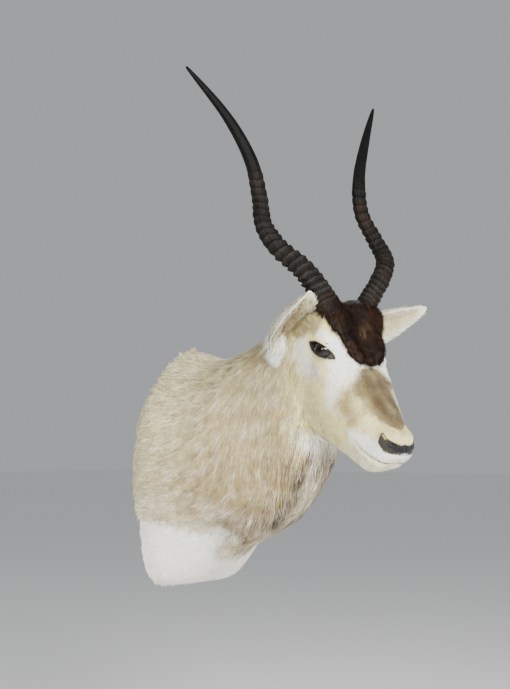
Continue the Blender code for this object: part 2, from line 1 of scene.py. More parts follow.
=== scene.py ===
# %% [markdown]
# # An addax shoulder mount, dressed for its picture
# The mount is the head, neck and shoulders of an antelope on a board that hangs on a wall. Its solids
# are already made, and here they are a fixed frame. This lesson makes the surfaces that
# the eye sees: a fine skin with eyelids, nostrils and a mouth, a coat of many thousand hairs, ears,
# ringed horns, glass eyes, and the plywood and steel at the back.
#
# Everything is worked out as numpy arrays in metres, with +Z up and the wall at Y = 0, so each piece
# lies where its solid lies.

# %% Load the fixed frame
import math

import bpy
import numpy as np
from mathutils import Matrix


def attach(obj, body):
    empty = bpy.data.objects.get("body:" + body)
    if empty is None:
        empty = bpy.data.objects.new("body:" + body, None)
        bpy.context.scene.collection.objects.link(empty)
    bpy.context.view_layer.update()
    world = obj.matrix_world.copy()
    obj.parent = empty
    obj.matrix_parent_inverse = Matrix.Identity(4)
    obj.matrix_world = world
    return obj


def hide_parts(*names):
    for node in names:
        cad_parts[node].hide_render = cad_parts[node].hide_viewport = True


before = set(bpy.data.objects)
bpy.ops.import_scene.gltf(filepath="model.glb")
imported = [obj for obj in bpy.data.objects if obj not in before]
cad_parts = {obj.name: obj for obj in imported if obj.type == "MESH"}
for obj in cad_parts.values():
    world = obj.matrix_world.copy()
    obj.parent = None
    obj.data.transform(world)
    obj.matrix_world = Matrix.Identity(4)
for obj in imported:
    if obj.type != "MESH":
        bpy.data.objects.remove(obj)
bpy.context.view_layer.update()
print("solids:", ", ".join(sorted(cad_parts)))

# %% [markdown]
# ## The camera and the light
# The photo looks at the animal's right side, from a little below the horns and from in front. One
# camera was fitted to both horns and to the outline of the neck, so its angles, its distance and its
# focal length belong together. The light is soft and comes from large panels, because the photo has
# no hard shadow on the fur. Only two of the panels show in glossy surfaces, so that the eye keeps few
# highlights.

# %% Camera
PHOTO_SIZE = (510, 689)
CAMERA_AZIMUTH = math.radians(-50.0)
CAMERA_ELEVATION = math.radians(-5.0)
CAMERA_DISTANCE = 2.30
FOCAL_PIXELS = 1150.0
ORIGIN_PIXEL = (193.0, 468.0)
SENSOR_MM = 36.0


def camera_axes():
    """Directions that the camera looks along, to its right and up, from its azimuth and elevation."""
    level = math.cos(CAMERA_ELEVATION)
    ahead = np.array([-math.sin(CAMERA_AZIMUTH) * level, math.cos(CAMERA_AZIMUTH) * level,
                      -math.sin(CAMERA_ELEVATION)])
    right = np.cross(ahead, (0.0, 0.0, 1.0))
    right /= np.linalg.norm(right)
    return ahead, right, np.cross(right, ahead)


def make_camera():
    """Place the camera so that the mount's origin falls on its own pixel of the photo."""
    ahead, right, up = camera_axes()
    scale = CAMERA_DISTANCE / FOCAL_PIXELS
    across = (ORIGIN_PIXEL[0] - 0.5 * PHOTO_SIZE[0]) * scale
    down = (ORIGIN_PIXEL[1] - 0.5 * PHOTO_SIZE[1]) * scale
    place = -(ahead * CAMERA_DISTANCE + right * across - up * down)
    data = bpy.data.cameras.new("camera")
    data.sensor_width = SENSOR_MM
    data.lens = FOCAL_PIXELS / PHOTO_SIZE[1] * SENSOR_MM
    camera = bpy.data.objects.new("camera", data)
    bpy.context.scene.collection.objects.link(camera)
    turned = np.eye(4)
    turned[:3, 0], turned[:3, 1], turned[:3, 2], turned[:3, 3] = right, up, -ahead, place
    camera.matrix_world = Matrix(turned.tolist())
    bpy.context.scene.camera = camera
    return camera


camera = make_camera()
print("camera at", [round(value, 3) for value in camera.location])

# %% Light, floor and backdrop
LIGHTS = {
    "key panel": ((-1.5, -2.6, 1.1), 0.55, 116.0),
    "side panel": ((-2.8, -0.9, 0.9), 0.60, 75.0),
    "top panel": ((-0.3, -1.3, 2.6), 1.40, 50.0),
    "far panel": ((2.0, -1.9, 0.9), 0.90, 38.0),
    "low panel": ((-0.9, -2.4, -0.3), 0.80, 24.0),
}
SEEN_IN_THE_EYE = ("key panel", "side panel")
LIGHT_AIM = (0.0, -0.25, 0.15)
SKY_COLOUR = (0.40, 0.41, 0.42)
FLOOR_HEIGHT = -0.85
FLOOR_SIZE = 60.0
FLOOR_COLOUR = (0.93, 0.93, 0.92)


def make_light(name, place, size, watts):
    """A square panel that faces the mount. Glossy surfaces show only those in SEEN_IN_THE_EYE."""
    data = bpy.data.lights.new(name, "AREA")
    data.size = size
    data.energy = watts
    light = bpy.data.objects.new(name, data)
    bpy.context.scene.collection.objects.link(light)
    back = np.array(place) - np.array(LIGHT_AIM)
    back /= np.linalg.norm(back)
    side = np.cross((0.0, 0.0, 1.0), back)
    side /= np.linalg.norm(side)
    turned = np.eye(4)
    turned[:3, 0], turned[:3, 1], turned[:3, 2], turned[:3, 3] = side, np.cross(back, side), back, place
    light.matrix_world = Matrix(turned.tolist())
    light.visible_glossy = name in SEEN_IN_THE_EYE


def make_sky():
    """An even pale grey world."""
    world = bpy.data.worlds.new("sky")
    world.use_nodes = True
    world.node_tree.nodes["Background"].inputs["Color"].default_value = (*SKY_COLOUR, 1.0)
    bpy.context.scene.world = world


for light_name, settings in LIGHTS.items():
    make_light(light_name, *settings)
make_sky()
print("lights:", len(LIGHTS))

# %% [markdown]
# ## Arrays that become meshes
# Two kinds of mesh are needed. The first is a closed sheet: rings of points, joined to their
# neighbours, with a pole at each end. The second is hair: thousands of thin ribbons in one mesh.
# Both are plain arrays, so a few helpers put them into Blender. The sheets get a UV map whose first
# axis runs round the rings and whose second runs along them.


# %% Small mathematics
def smoothstep(low, high, value):
    """Rise from 0 at low to 1 at high with level ends: 3 t squared minus 2 t cubed."""
    t = np.clip((np.asarray(value, dtype=float) - low) / (high - low), 0.0, 1.0)
    return t * t * (3.0 - 2.0 * t)


def unit(vectors):
    """Each vector over its own length."""
    return vectors / np.maximum(np.linalg.norm(vectors, axis=-1, keepdims=True), 1e-9)


def spline(rows, places):
    """A Catmull-Rom curve through the rows, read at fractional row numbers of any shape."""
    rows = np.asarray(rows, dtype=float)
    last = len(rows) - 1
    places = np.clip(np.asarray(places, dtype=float), 0.0, last)
    low = np.minimum(places.astype(int), last - 1)
    t = (places - low)[..., None]
    before, here = rows[np.maximum(low - 1, 0)], rows[low]
    there, after = rows[low + 1], rows[np.minimum(low + 2, last)]
    return 0.5 * (2.0 * here + (there - before) * t
                  + (2.0 * before - 5.0 * here + 4.0 * there - after) * t ** 2
                  + (3.0 * here - before - 3.0 * there + after) * t ** 3)


def ripple(points, size, seed):
    """Smooth variation from about -1 to 1: eight sine waves of nearly one size, in random directions."""
    waves = np.random.default_rng(seed)
    total = np.zeros(points.shape[:-1])
    for _ in range(8):
        way = unit(waves.normal(size=3)) * 2.0 * math.pi / (size * waves.uniform(0.7, 1.6))
        total += np.sin(points @ way + waves.uniform(0.0, 2.0 * math.pi))
    return total * 0.25


# %% Meshes from arrays
def make_mesh(name, points, face_groups, corner_uv):
    """A mesh from points, groups of faces of one size each, and a UV place for every face corner."""
    corners = np.concatenate([group.ravel() for group in face_groups])
    sizes = np.concatenate([np.full(len(group), group.shape[1]) for group in face_groups])
    mesh = bpy.data.meshes.new(name)
    mesh.vertices.add(len(points))
    mesh.vertices.foreach_set("co", points.astype(np.float32).ravel())
    mesh.loops.add(len(corners))
    mesh.loops.foreach_set("vertex_index", corners.astype(np.int32))
    mesh.polygons.add(len(sizes))
    starts = np.concatenate([[0], np.cumsum(sizes)[:-1]])
    mesh.polygons.foreach_set("loop_start", starts.astype(np.int32))
    mesh.update(calc_edges=True)
    mesh.uv_layers.new(name="OFBake").data.foreach_set("uv", corner_uv.astype(np.float32).ravel())
    mesh.shade_smooth()
    return mesh


def set_colours(mesh, name, colours):
    """Store one colour for each point."""
    full = np.ones((len(colours), 4), dtype=np.float32)
    full[:, :3] = colours
    mesh.attributes.new(name, "FLOAT_COLOR", "POINT").data.foreach_set("color", full.ravel())


def add_piece(mesh, material, replaced=()):
    """Show the mesh as a piece of the mount that stands for these solids."""
    piece = bpy.data.objects.new(mesh.name, mesh)
    bpy.context.scene.collection.objects.link(piece)
    mesh.materials.append(material)
    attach(piece, "root")
    if replaced:
        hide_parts(*replaced)
    return piece


def closed_sheet(name, rings, start, end):
    """Join rings of points into a closed skin with a pole at each end, its faces pointing outwards.

    The volume is the sum of each face's corners multiplied as a box, and if it is negative the
    faces are turned round.
    """
    rows, columns = rings.shape[:2]
    points = np.concatenate([rings.reshape(-1, 3), [start, end]])
    column = np.arange(columns)
    after = (column + 1) % columns
    ring = np.arange(rows - 1)[:, None] * columns
    low, turn = (ring + column).ravel(), (ring + after).ravel()
    quads = np.stack([low, turn, turn + columns, low + columns], axis=1)
    last = (rows - 1) * columns
    first_fan = np.stack([after, column, np.full(columns, rows * columns)], axis=1)
    last_fan = np.stack([last + column, last + after, np.full(columns, rows * columns + 1)], axis=1)
    a, b, c, d = (points[quads[:, k]] for k in range(4))
    volume = np.sum(np.cross(a, b) * c) + np.sum(np.cross(a, c) * d)
    u = np.tile(column, rows - 1) / columns
    v = (np.repeat(np.arange(rows - 1), columns) + 1.0) / (rows + 1.0)
    du, dv = 1.0 / columns, 1.0 / (rows + 1.0)
    quad_uv = np.stack([u, v, u + du, v, u + du, v + dv, u, v + dv], axis=1).reshape(-1, 4, 2)
    side, level = column / columns, np.ones(columns)
    first_uv = np.stack([side + du, dv * level, side, dv * level, side + 0.5 * du, 0.0 * level],
                        axis=1).reshape(-1, 3, 2)
    last_uv = np.stack([side, (1.0 - dv) * level, side + du, (1.0 - dv) * level, side + 0.5 * du, level],
                       axis=1).reshape(-1, 3, 2)
    groups, maps = [quads, first_fan, last_fan], [quad_uv, first_uv, last_uv]
    if volume < 0.0:
        groups = [group[:, ::-1] for group in groups]
        maps = [group[:, ::-1] for group in maps]
    return make_mesh(name, points, groups, np.concatenate([group.reshape(-1, 2) for group in maps]))


def slopes(points):
    """How a grid that closes round its columns moves for one row and for one column."""
    along = np.gradient(points, axis=0)
    wide = np.concatenate([points[:, -1:], points, points[:, :1]], axis=1)
    return along, 0.5 * (wide[:, 2:] - wide[:, :-2])


def grid_normals(points, middle):
    """Outward normals of such a grid: the cross product of its two slopes."""
    normals = unit(np.cross(*slopes(points)))
    outward = np.sum(normals * (points - middle), axis=-1).mean()
    return normals if outward > 0.0 else -normals


# %% [markdown]
# ## The form under the hair
# The skin is a loft: named sections from the wall to the nose, each an oval that can be squarer above
# and more pointed below. The straight animal is then bent, because the head looks 14 degrees to its
# own right. The sections, the bend and the swellings are those of the solid, so the dressed surface
# keeps to it, and here they are read at thousands of places at once.

# %% Driving sizes of the form
HEAD_YAW = math.radians(14.0)
TURN_STARTS_OUT = 0.180
TURN_ENDS_OUT = 0.344
HEAD_ORIGIN_OUT = 0.3116

# Top out and height, bottom out and height, half width, widest place, roundness above and below.
HIDE_SECTIONS = {
    "wall edge": (0.0005, 0.232, 0.0005, -0.223, 0.156, 0.50, 1.22, 0.30),
    "shoulder": (0.035, 0.224, 0.034, -0.220, 0.158, 0.49, 1.15, 0.42),
    "brisket": (0.077, 0.211, 0.076, -0.196, 0.150, 0.48, 1.05, 0.68),
    "chest": (0.125, 0.214, 0.130, -0.148, 0.134, 0.47, 1.00, 0.85),
    "neck root": (0.179, 0.233, 0.213, -0.108, 0.112, 0.47, 1.00, 0.95),
    "lower neck": (0.225, 0.252, 0.282, -0.056, 0.093, 0.50, 1.00, 1.15),
    "middle neck": (0.265, 0.266, 0.323, -0.004, 0.081, 0.55, 1.00, 1.20),
    "upper neck": (0.300, 0.277, 0.338, 0.040, 0.076, 0.60, 0.95, 1.10),
    "throat": (0.335, 0.284, 0.341, 0.058, 0.074, 0.62, 0.85, 1.05),
    "poll": (0.372, 0.284, 0.352, 0.056, 0.073, 0.65, 0.75, 1.05),
    "horn bases": (0.408, 0.270, 0.368, 0.050, 0.073, 0.66, 0.75, 1.00),
    "eyes": (0.434, 0.232, 0.390, 0.041, 0.070, 0.66, 0.70, 0.95),
    "below the eyes": (0.455, 0.192, 0.412, 0.031, 0.063, 0.64, 0.62, 0.90),
    "upper bridge": (0.478, 0.160, 0.434, 0.020, 0.055, 0.63, 0.60, 0.85),
    "lower bridge": (0.504, 0.124, 0.453, 0.010, 0.046, 0.60, 0.68, 0.80),
    "above the nostrils": (0.527, 0.091, 0.470, 0.002, 0.040, 0.56, 0.72, 0.75),
    "nostrils": (0.542, 0.069, 0.484, 0.001, 0.037, 0.55, 0.70, 0.75),
    "upper lip": (0.551, 0.053, 0.503, 0.004, 0.032, 0.55, 0.72, 0.75),
    "muzzle front": (0.555, 0.041, 0.524, 0.011, 0.024, 0.52, 0.80, 0.85),
    "muzzle end": (0.554, 0.033, 0.540, 0.021, 0.013, 0.50, 0.90, 0.90),
}
HEAD_SWELLINGS = {
    "crown": (0.000, 0.092, 0.275, 0.034, 0.009),
    "horn pedicle": (0.040, 0.088, 0.262, 0.028, 0.013),
    "brow": (0.060, 0.112, 0.230, 0.020, 0.007),
    "cheekbone": (0.062, 0.112, 0.178, 0.026, 0.004),
    "nostril wing": (0.026, 0.220, 0.050, 0.016, 0.004),
    "lip corner": (0.034, 0.170, 0.036, 0.018, 0.002),
}
HEM_HEIGHT = -0.098
HEM_RISE_AT_WALL = 0.018
FRONT_HEM_DROP = 0.055
HEM_DEPTH = 0.004
HEM_FADE = 0.018
SECTION_ROWS = np.array(list(HIDE_SECTIONS.values()))
LAST_PLACE = len(SECTION_ROWS) - 1


# %% The bend and the head's own directions
def bend(out, lateral, up):
    """Turn the straight animal: straight out, then round a circle through the yaw, then straight."""
    radius = (TURN_ENDS_OUT - TURN_STARTS_OUT) / HEAD_YAW
    yaw = np.clip((out - TURN_STARTS_OUT) / radius, 0.0, HEAD_YAW)
    beyond = np.maximum(out - TURN_ENDS_OUT, 0.0)
    side = -radius * (1.0 - np.cos(yaw)) - beyond * np.sin(yaw)
    reach = np.minimum(out, TURN_STARTS_OUT) + radius * np.sin(yaw) + beyond * np.cos(yaw)
    return np.stack([side + lateral * np.cos(yaw), -reach - lateral * np.sin(yaw), up], axis=-1)


HEAD_FORWARD = np.array([-math.sin(HEAD_YAW), -math.cos(HEAD_YAW), 0.0])
HEAD_LEFT = np.array([math.cos(HEAD_YAW), -math.sin(HEAD_YAW), 0.0])
UP = np.array([0.0, 0.0, 1.0])
TURN_MIDDLE = 0.5 * (TURN_STARTS_OUT + TURN_ENDS_OUT)
HEAD_ORIGIN = np.array([0.0, -TURN_MIDDLE, 0.0]) + HEAD_FORWARD * (HEAD_ORIGIN_OUT - TURN_MIDDLE)


def on_head(places):
    """Points from their distances left, forward and up in the head's frame."""
    places = np.asarray(places, dtype=float)
    return (HEAD_ORIGIN + places[..., 0:1] * HEAD_LEFT + places[..., 1:2] * HEAD_FORWARD
            + places[..., 2:3] * UP)


def in_head(points):
    """Distances left, forward and up in the head's frame, the reverse of on_head."""
    away = points - HEAD_ORIGIN
    return away @ HEAD_LEFT, away @ HEAD_FORWARD, points[..., 2]


def along_head(direction):
    """A direction of the head's frame, turned into the mount's and made one long."""
    return unit(on_head(np.asarray(direction, dtype=float)) - HEAD_ORIGIN)


# %% The plain skin
def hem_height(out):
    """Height of the hem of the neck's hair: it rises towards the wall."""
    return HEM_HEIGHT + HEM_RISE_AT_WALL * smoothstep(0.10, 0.02, out)


def skin_points(place, angle):
    """Points of the skin at places along the sections and angles from the top round the left side.

    The share of the way up is 2 r (1 - r) c + r squared, where r is (1 + cosine) / 2 and c comes from
    the widest place; the width is the half width times the sine to the power of the roundness. Each
    swelling then pushes away from the section's middle, by its height times a bell curve.
    """
    row = spline(SECTION_ROWS, place)
    top_out, top_up, bottom_out, bottom_up, half_width, widest, above, below = np.moveaxis(row, -1, 0)
    rise = 0.5 * (1.0 + np.cos(angle))
    share = 2.0 * rise * (1.0 - rise) * 2.0 * (widest - 0.25) + rise ** 2
    power = np.where(np.cos(angle) > 0.0, above, below)
    lateral = half_width * np.sign(np.sin(angle)) * np.abs(np.sin(angle)) ** power
    out = bottom_out + (top_out - bottom_out) * share
    up = bottom_up + (top_up - bottom_up) * share
    away = unit(np.stack([lateral, out - 0.5 * (top_out + bottom_out), up - 0.5 * (top_up + bottom_up)],
                         axis=-1))
    push = np.zeros_like(out)
    for side, ahead, height, radius, amount in HEAD_SWELLINGS.values():
        distance = ((np.abs(lateral) - side) ** 2 + (out - HEAD_ORIGIN_OUT - ahead) ** 2
                    + (up - height) ** 2)
        push += amount * np.exp(-distance / radius ** 2)
    below_hem = (hem_height(out) - up) / HEM_FADE
    step = smoothstep(-0.5, 0.5, below_hem)
    fill = smoothstep(HEM_HEIGHT - 0.03, HEM_HEIGHT - 0.10, up)
    push -= HEM_DEPTH * step * (1.0 - fill)
    outwards = away[..., 1] * smoothstep(0.0, 0.02, out)
    return bend(out + push * outwards, lateral + push * away[..., 0], up + push * away[..., 2])


# %% [markdown]
# ## Eyelids, nostrils and mouth
# On the real mount these are skin pulled into slots in the form. They could be separate shapes, but
# they grew as one with the hide, so the skin itself is pushed in and out along its own normal. Each
# feature is written as a distance: from the almond of the eye, or from a line of points with a
# radius at each point, like a brush stroke. The same distances later paint the skin and keep hair
# off bare places. Left and right are alike, so the lateral distance is taken without its sign.

# %% Distances to features
EYE_OPENING_MIDDLE = (0.1073, 0.2090)
EYE_SLOPE = (0.839, -0.545)
EYE_BACK_LENGTH = 0.0235
EYE_FRONT_LENGTH = 0.0330
EYE_WIDEST_AT = -0.0040
EYE_HALF_OPENING = 0.0088
TEAR_CORNER_FROM = 0.0165


def eye_plane(points):
    """Places along and across the eye's opening: along runs forward and down to the tear corner."""
    _, forward, up = in_head(points)
    ahead, rise = forward - EYE_OPENING_MIDDLE[0], up - EYE_OPENING_MIDDLE[1]
    return ahead * EYE_SLOPE[0] + rise * EYE_SLOPE[1], rise * EYE_SLOPE[0] - ahead * EYE_SLOPE[1]


def eye_distance(points):
    """Distance outside the almond: the height over the edge (1 - s squared) ^ 0.8, s along the eye."""
    along, across = eye_plane(points)
    off = along - EYE_WIDEST_AT
    length = np.where(off < 0.0, EYE_BACK_LENGTH, EYE_FRONT_LENGTH)
    share = np.clip(np.abs(off) / length, 0.0, 1.0)
    edge = EYE_HALF_OPENING * (1.0 - share ** 2) ** 0.8
    over = np.maximum(np.abs(off) - length, 0.0)
    distance = np.sqrt(np.maximum(np.abs(across) - edge, 0.0) ** 2 + over ** 2)
    inside = np.minimum(edge - np.abs(across), length - np.abs(off))
    distance = np.where((np.abs(across) < edge) & (over == 0.0), -inside, distance)
    return np.where(np.abs(in_head(points)[0]) > 0.035, distance, 1.0)


def stroke(points, line, mirrored=True):
    """Distance from a line of (left, forward, up, radius) points, over the radius there.

    It is 0 on the line and 1 on the stroke's edge: the smallest over all segments of the distance to
    the nearest point of the segment, divided by the radius between its ends.
    """
    left, forward, up = in_head(points)
    here = np.stack([np.abs(left) if mirrored else left, forward, up], axis=-1)
    line = np.asarray(line, dtype=float)
    best = np.full(points.shape[:-1], 1e3)
    for low, high in zip(line[:-1], line[1:]):
        span = high[:3] - low[:3]
        t = np.clip(((here - low[:3]) @ span) / (span @ span), 0.0, 1.0)
        near = low[:3] + t[..., None] * span
        radius = low[3] + t * (high[3] - low[3])
        best = np.minimum(best, np.linalg.norm(here - near, axis=-1) / radius)
    return best


def brush(points, line, soft=0.5, mirrored=True, ragged=0.0):
    """A mask that is 1 inside a stroke and fades over a share of its radius, its edge made ragged."""
    distance = stroke(points, line, mirrored)
    if ragged:
        distance = distance + ragged * ripple(points, 0.008, 30)
    return 1.0 - smoothstep(1.0 - soft, 1.0 + soft, distance)


# %% Lines of the face
NOSTRIL_SLIT = [(0.0320, 0.2225, 0.0625, 0.0026), (0.0317, 0.2279, 0.0556, 0.0034),
                (0.0279, 0.2335, 0.0500, 0.0040), (0.0216, 0.2385, 0.0455, 0.0030)]
NOSE_LEATHER = [(0.0322, 0.2215, 0.0630, 0.0034), (0.0340, 0.2235, 0.0510, 0.0080),
                (0.0285, 0.2300, 0.0430, 0.0108), (0.0180, 0.2370, 0.0385, 0.0095),
                (0.0090, 0.2410, 0.0365, 0.0078), (0.0000, 0.2440, 0.0385, 0.0080)]
NOSE_DARKEST = [(0.0270, 0.2345, 0.0470, 0.0050), (0.0170, 0.2395, 0.0410, 0.0070),
                (0.0060, 0.2430, 0.0370, 0.0075), (0.0000, 0.2440, 0.0400, 0.0070)]
NOSE_CLEFT = [(0.0000, 0.2410, 0.0500, 0.0022), (0.0000, 0.2445, 0.0390, 0.0024),
              (0.0000, 0.2400, 0.0260, 0.0018), (0.0000, 0.2260, 0.0180, 0.0015)]
MOUTH_LINE = [(0.0430, 0.1640, 0.0525, 0.0016), (0.0400, 0.1813, 0.0350, 0.0023),
              (0.0315, 0.2048, 0.0215, 0.0024), (0.0150, 0.2175, 0.0148, 0.0022),
              (0.0000, 0.2216, 0.0132, 0.0020)]
LOWER_LIP = [(0.0400, 0.1700, 0.0400, 0.0050), (0.0330, 0.1900, 0.0210, 0.0070),
             (0.0180, 0.2050, 0.0080, 0.0080), (0.0000, 0.2080, 0.0060, 0.0080)]
TEAR_LINE = [(0.0600, 0.1310, 0.1905, 0.0030), (0.0610, 0.1400, 0.1700, 0.0045)]
FACE_VEIN = [(0.0560, 0.1500, 0.1500, 0.0022), (0.0530, 0.1700, 0.1150, 0.0020),
             (0.0440, 0.1950, 0.0850, 0.0018)]
TUFT_EDGE = {"heights": (0.184, 0.188, 0.196, 0.210, 0.225, 0.239, 0.250, 0.275, 0.300),
             "half widths": (0.006, 0.026, 0.034, 0.038, 0.040, 0.046, 0.054, 0.056, 0.054)}
TUFT_MIDDLE = 0.005


def tuft_distance(points):
    """How far inside the forehead tuft a point is, by its width at that height; negative outside."""
    left, forward, up = in_head(points)
    edge = np.interp(up, TUFT_EDGE["heights"], TUFT_EDGE["half widths"], left=-0.02)
    ragged = 0.0025 * ripple(points, 0.010, 31)
    return np.where(forward > 0.072, edge - np.abs(left - TUFT_MIDDLE) + ragged, -0.02)


def relief(points):
    """How far the skin moves along its normal: sockets and slots in, lids, lips and veins out."""
    near_eye = eye_distance(points)
    along, across = eye_plane(points)
    depth = np.where(along > TEAR_CORNER_FROM, 0.0035, 0.0130)
    rise = -depth * smoothstep(0.0006, -0.0016, near_eye)
    lid = np.where(across > 0.0, 0.0034, 0.0022)
    rise += lid * np.exp(-((near_eye - 0.0022) / 0.0022) ** 2) * (near_eye > -0.002)
    crease = np.where(across > 0.0, 0.0014, 0.0008)
    rise -= crease * np.exp(-((near_eye - 0.0085) / 0.0022) ** 2)
    rise -= 0.0060 * (1.0 - smoothstep(0.3, 1.25, stroke(points, NOSTRIL_SLIT)))
    rise += 0.0014 * np.exp(-((stroke(points, NOSTRIL_SLIT) - 2.1) / 0.6) ** 2)
    rise -= 0.0007 * brush(points, NOSE_LEATHER, 0.15)
    rise -= 0.0012 * (1.0 - smoothstep(0.2, 1.4, stroke(points, NOSE_CLEFT)))
    rise -= 0.0034 * (1.0 - smoothstep(0.2, 1.5, stroke(points, MOUTH_LINE)))
    rise += 0.0016 * (1.0 - smoothstep(0.2, 1.3, stroke(points, LOWER_LIP)))
    rise -= 0.0012 * (1.0 - smoothstep(0.2, 1.5, stroke(points, TEAR_LINE)))
    rise += 0.0009 * (1.0 - smoothstep(0.2, 1.6, stroke(points, FACE_VEIN)))
    inside = smoothstep(0.0, 0.012, tuft_distance(points))
    to_left = smoothstep(-0.010, 0.035, in_head(points)[0])
    rise += inside * (0.0055 + 0.0130 * to_left + 0.0012 * ripple(points, 0.022, 32))
    return rise


# %% [markdown]
# ## The markings
# The coat's colour belongs to places on the animal: a white mask in front of the eyes, a brown bridge
# of the nose, a dark forehead, a mane with brown streaks, a smooth white lobe below the hem of the
# neck's hair. An image would carry them, but a formula does it better here: soft brush strokes in the
# head's frame and soft bands over the body, which colour skin and hair alike. The colours were
# set in linear light until the picture read like the photo.
# A few of them are painted light and shade: shade low on the front of the neck, beside the horns' roots, in
# the ears' cups, in the nostrils and the mouth's crease, and a light rim along the far side of the muzzle.

# %% Colours and strokes of the coat
COAT = {
    "wall cream": (0.620, 0.550, 0.315),
    "beige": (0.450, 0.365, 0.182),
    "tan": (0.290, 0.200, 0.088),
    "cheek cream": (0.780, 0.680, 0.305),
    "warm cream": (0.830, 0.780, 0.590),
    "white": (0.930, 0.920, 0.850),
    "lobe white": (0.930, 0.895, 0.820),
    "olive": (0.240, 0.190, 0.095),
    "taupe": (0.130, 0.088, 0.036),
    "dark bridge": (0.070, 0.045, 0.018),
    "chestnut": (0.0250, 0.0115, 0.0056),
    "chestnut dark": (0.0090, 0.0052, 0.0033),
    "mane brown": (0.080, 0.052, 0.030),
    "leather": (0.030, 0.023, 0.017),
    "leather dark": (0.006, 0.005, 0.0055),
    "slit": (0.004, 0.003, 0.003),
    "lid": (0.008, 0.006, 0.005),
    "tear corner": (0.070, 0.052, 0.036),
    "mouth": (0.050, 0.036, 0.026),
}
WHITE_MASK = [(0.0660, 0.1060, 0.2370, 0.0070), (0.0500, 0.1240, 0.2220, 0.0150),
              (0.0450, 0.1410, 0.1960, 0.0210), (0.0500, 0.1450, 0.1740, 0.0210),
              (0.0570, 0.1380, 0.1540, 0.0160), (0.0610, 0.1290, 0.1330, 0.0120),
              (0.0630, 0.1200, 0.1120, 0.0080)]
WHITE_BAR = [(0.0450, 0.1430, 0.1880, 0.0140), (0.0200, 0.1500, 0.1850, 0.0080),
             (0.0000, 0.1500, 0.1850, 0.0060)]
BRIDGE = [(0.0000, 0.1580, 0.1730, 0.0100), (0.0000, 0.1690, 0.1580, 0.0300),
          (0.0000, 0.1780, 0.1400, 0.0470), (0.0000, 0.1930, 0.1200, 0.0430),
          (0.0000, 0.2090, 0.0990, 0.0310), (0.0000, 0.2180, 0.0850, 0.0190)]
BRIDGE_WING = [(0.0480, 0.1640, 0.1380, 0.0120), (0.0540, 0.1500, 0.1160, 0.0150),
               (0.0500, 0.1640, 0.0930, 0.0150)]
BRIDGE_DARK = [(0.0060, 0.1660, 0.1620, 0.0080), (0.0110, 0.1780, 0.1450, 0.0150),
               (0.0110, 0.1920, 0.1240, 0.0160), (0.0090, 0.2100, 0.0990, 0.0130)]
NOSE_SPOT = [(-0.0190, 0.2095, 0.0860, 0.0030), (-0.0185, 0.2100, 0.0850, 0.0030)]
BEHIND_EYE = [(0.0640, 0.0560, 0.2200, 0.0170), (0.0660, 0.0700, 0.1900, 0.0170),
              (0.0700, 0.0950, 0.1720, 0.0130)]
MANE_STREAK = [(0.0240, 0.0250, 0.0480, 0.0060), (0.0280, 0.0120, 0.0180, 0.0085),
               (0.0303, -0.0002, -0.0065, 0.0100), (0.0319, -0.0190, -0.0341, 0.0105),
               (0.0344, -0.0349, -0.0522, 0.0115), (0.0341, -0.0518, -0.0707, 0.0125),
               (0.0330, -0.0660, -0.0840, 0.0125)]
MANE_FRONT_STREAK = [(0.0060, 0.0290, 0.0420, 0.0050), (0.0100, 0.0180, 0.0150, 0.0060),
                     (0.0080, 0.0000, -0.0200, 0.0045)]
UPPER_LIP = [(0.0430, 0.1640, 0.0620, 0.0110), (0.0400, 0.1900, 0.0480, 0.0150),
             (0.0340, 0.2120, 0.0350, 0.0130), (0.0200, 0.2300, 0.0270, 0.0100),
             (0.0000, 0.2380, 0.0260, 0.0100)]
TAN_UNDER_EYE = [(0.0730, 0.0980, 0.1870, 0.0110), (0.0735, 0.0980, 0.1680, 0.0110)]
OLIVE_AND_SHADE_OVER_EYE = [(0.0600, 0.0960, 0.2640, 0.0085), (0.0680, 0.0900, 0.2490, 0.0110),
                  (0.0670, 0.0720, 0.2600, 0.0160), (0.0620, 0.0500, 0.2650, 0.0160)]
THROAT_WHITE = [(0.0515, 0.0184, 0.0830, 0.0090), (0.0300, 0.0260, 0.0680, 0.0110),
                (0.0000, 0.0290, 0.0560, 0.0120)]


def plain(points, name):
    """One named colour of the coat at every point."""
    return np.ones(points.shape) * np.array(COAT[name])


def paint(colours, target, mask):
    """Mix a named colour of the coat in by a mask."""
    mask = np.clip(mask, 0.0, 1.0)[..., None]
    return colours * (1.0 - mask) + np.array(COAT[target]) * mask


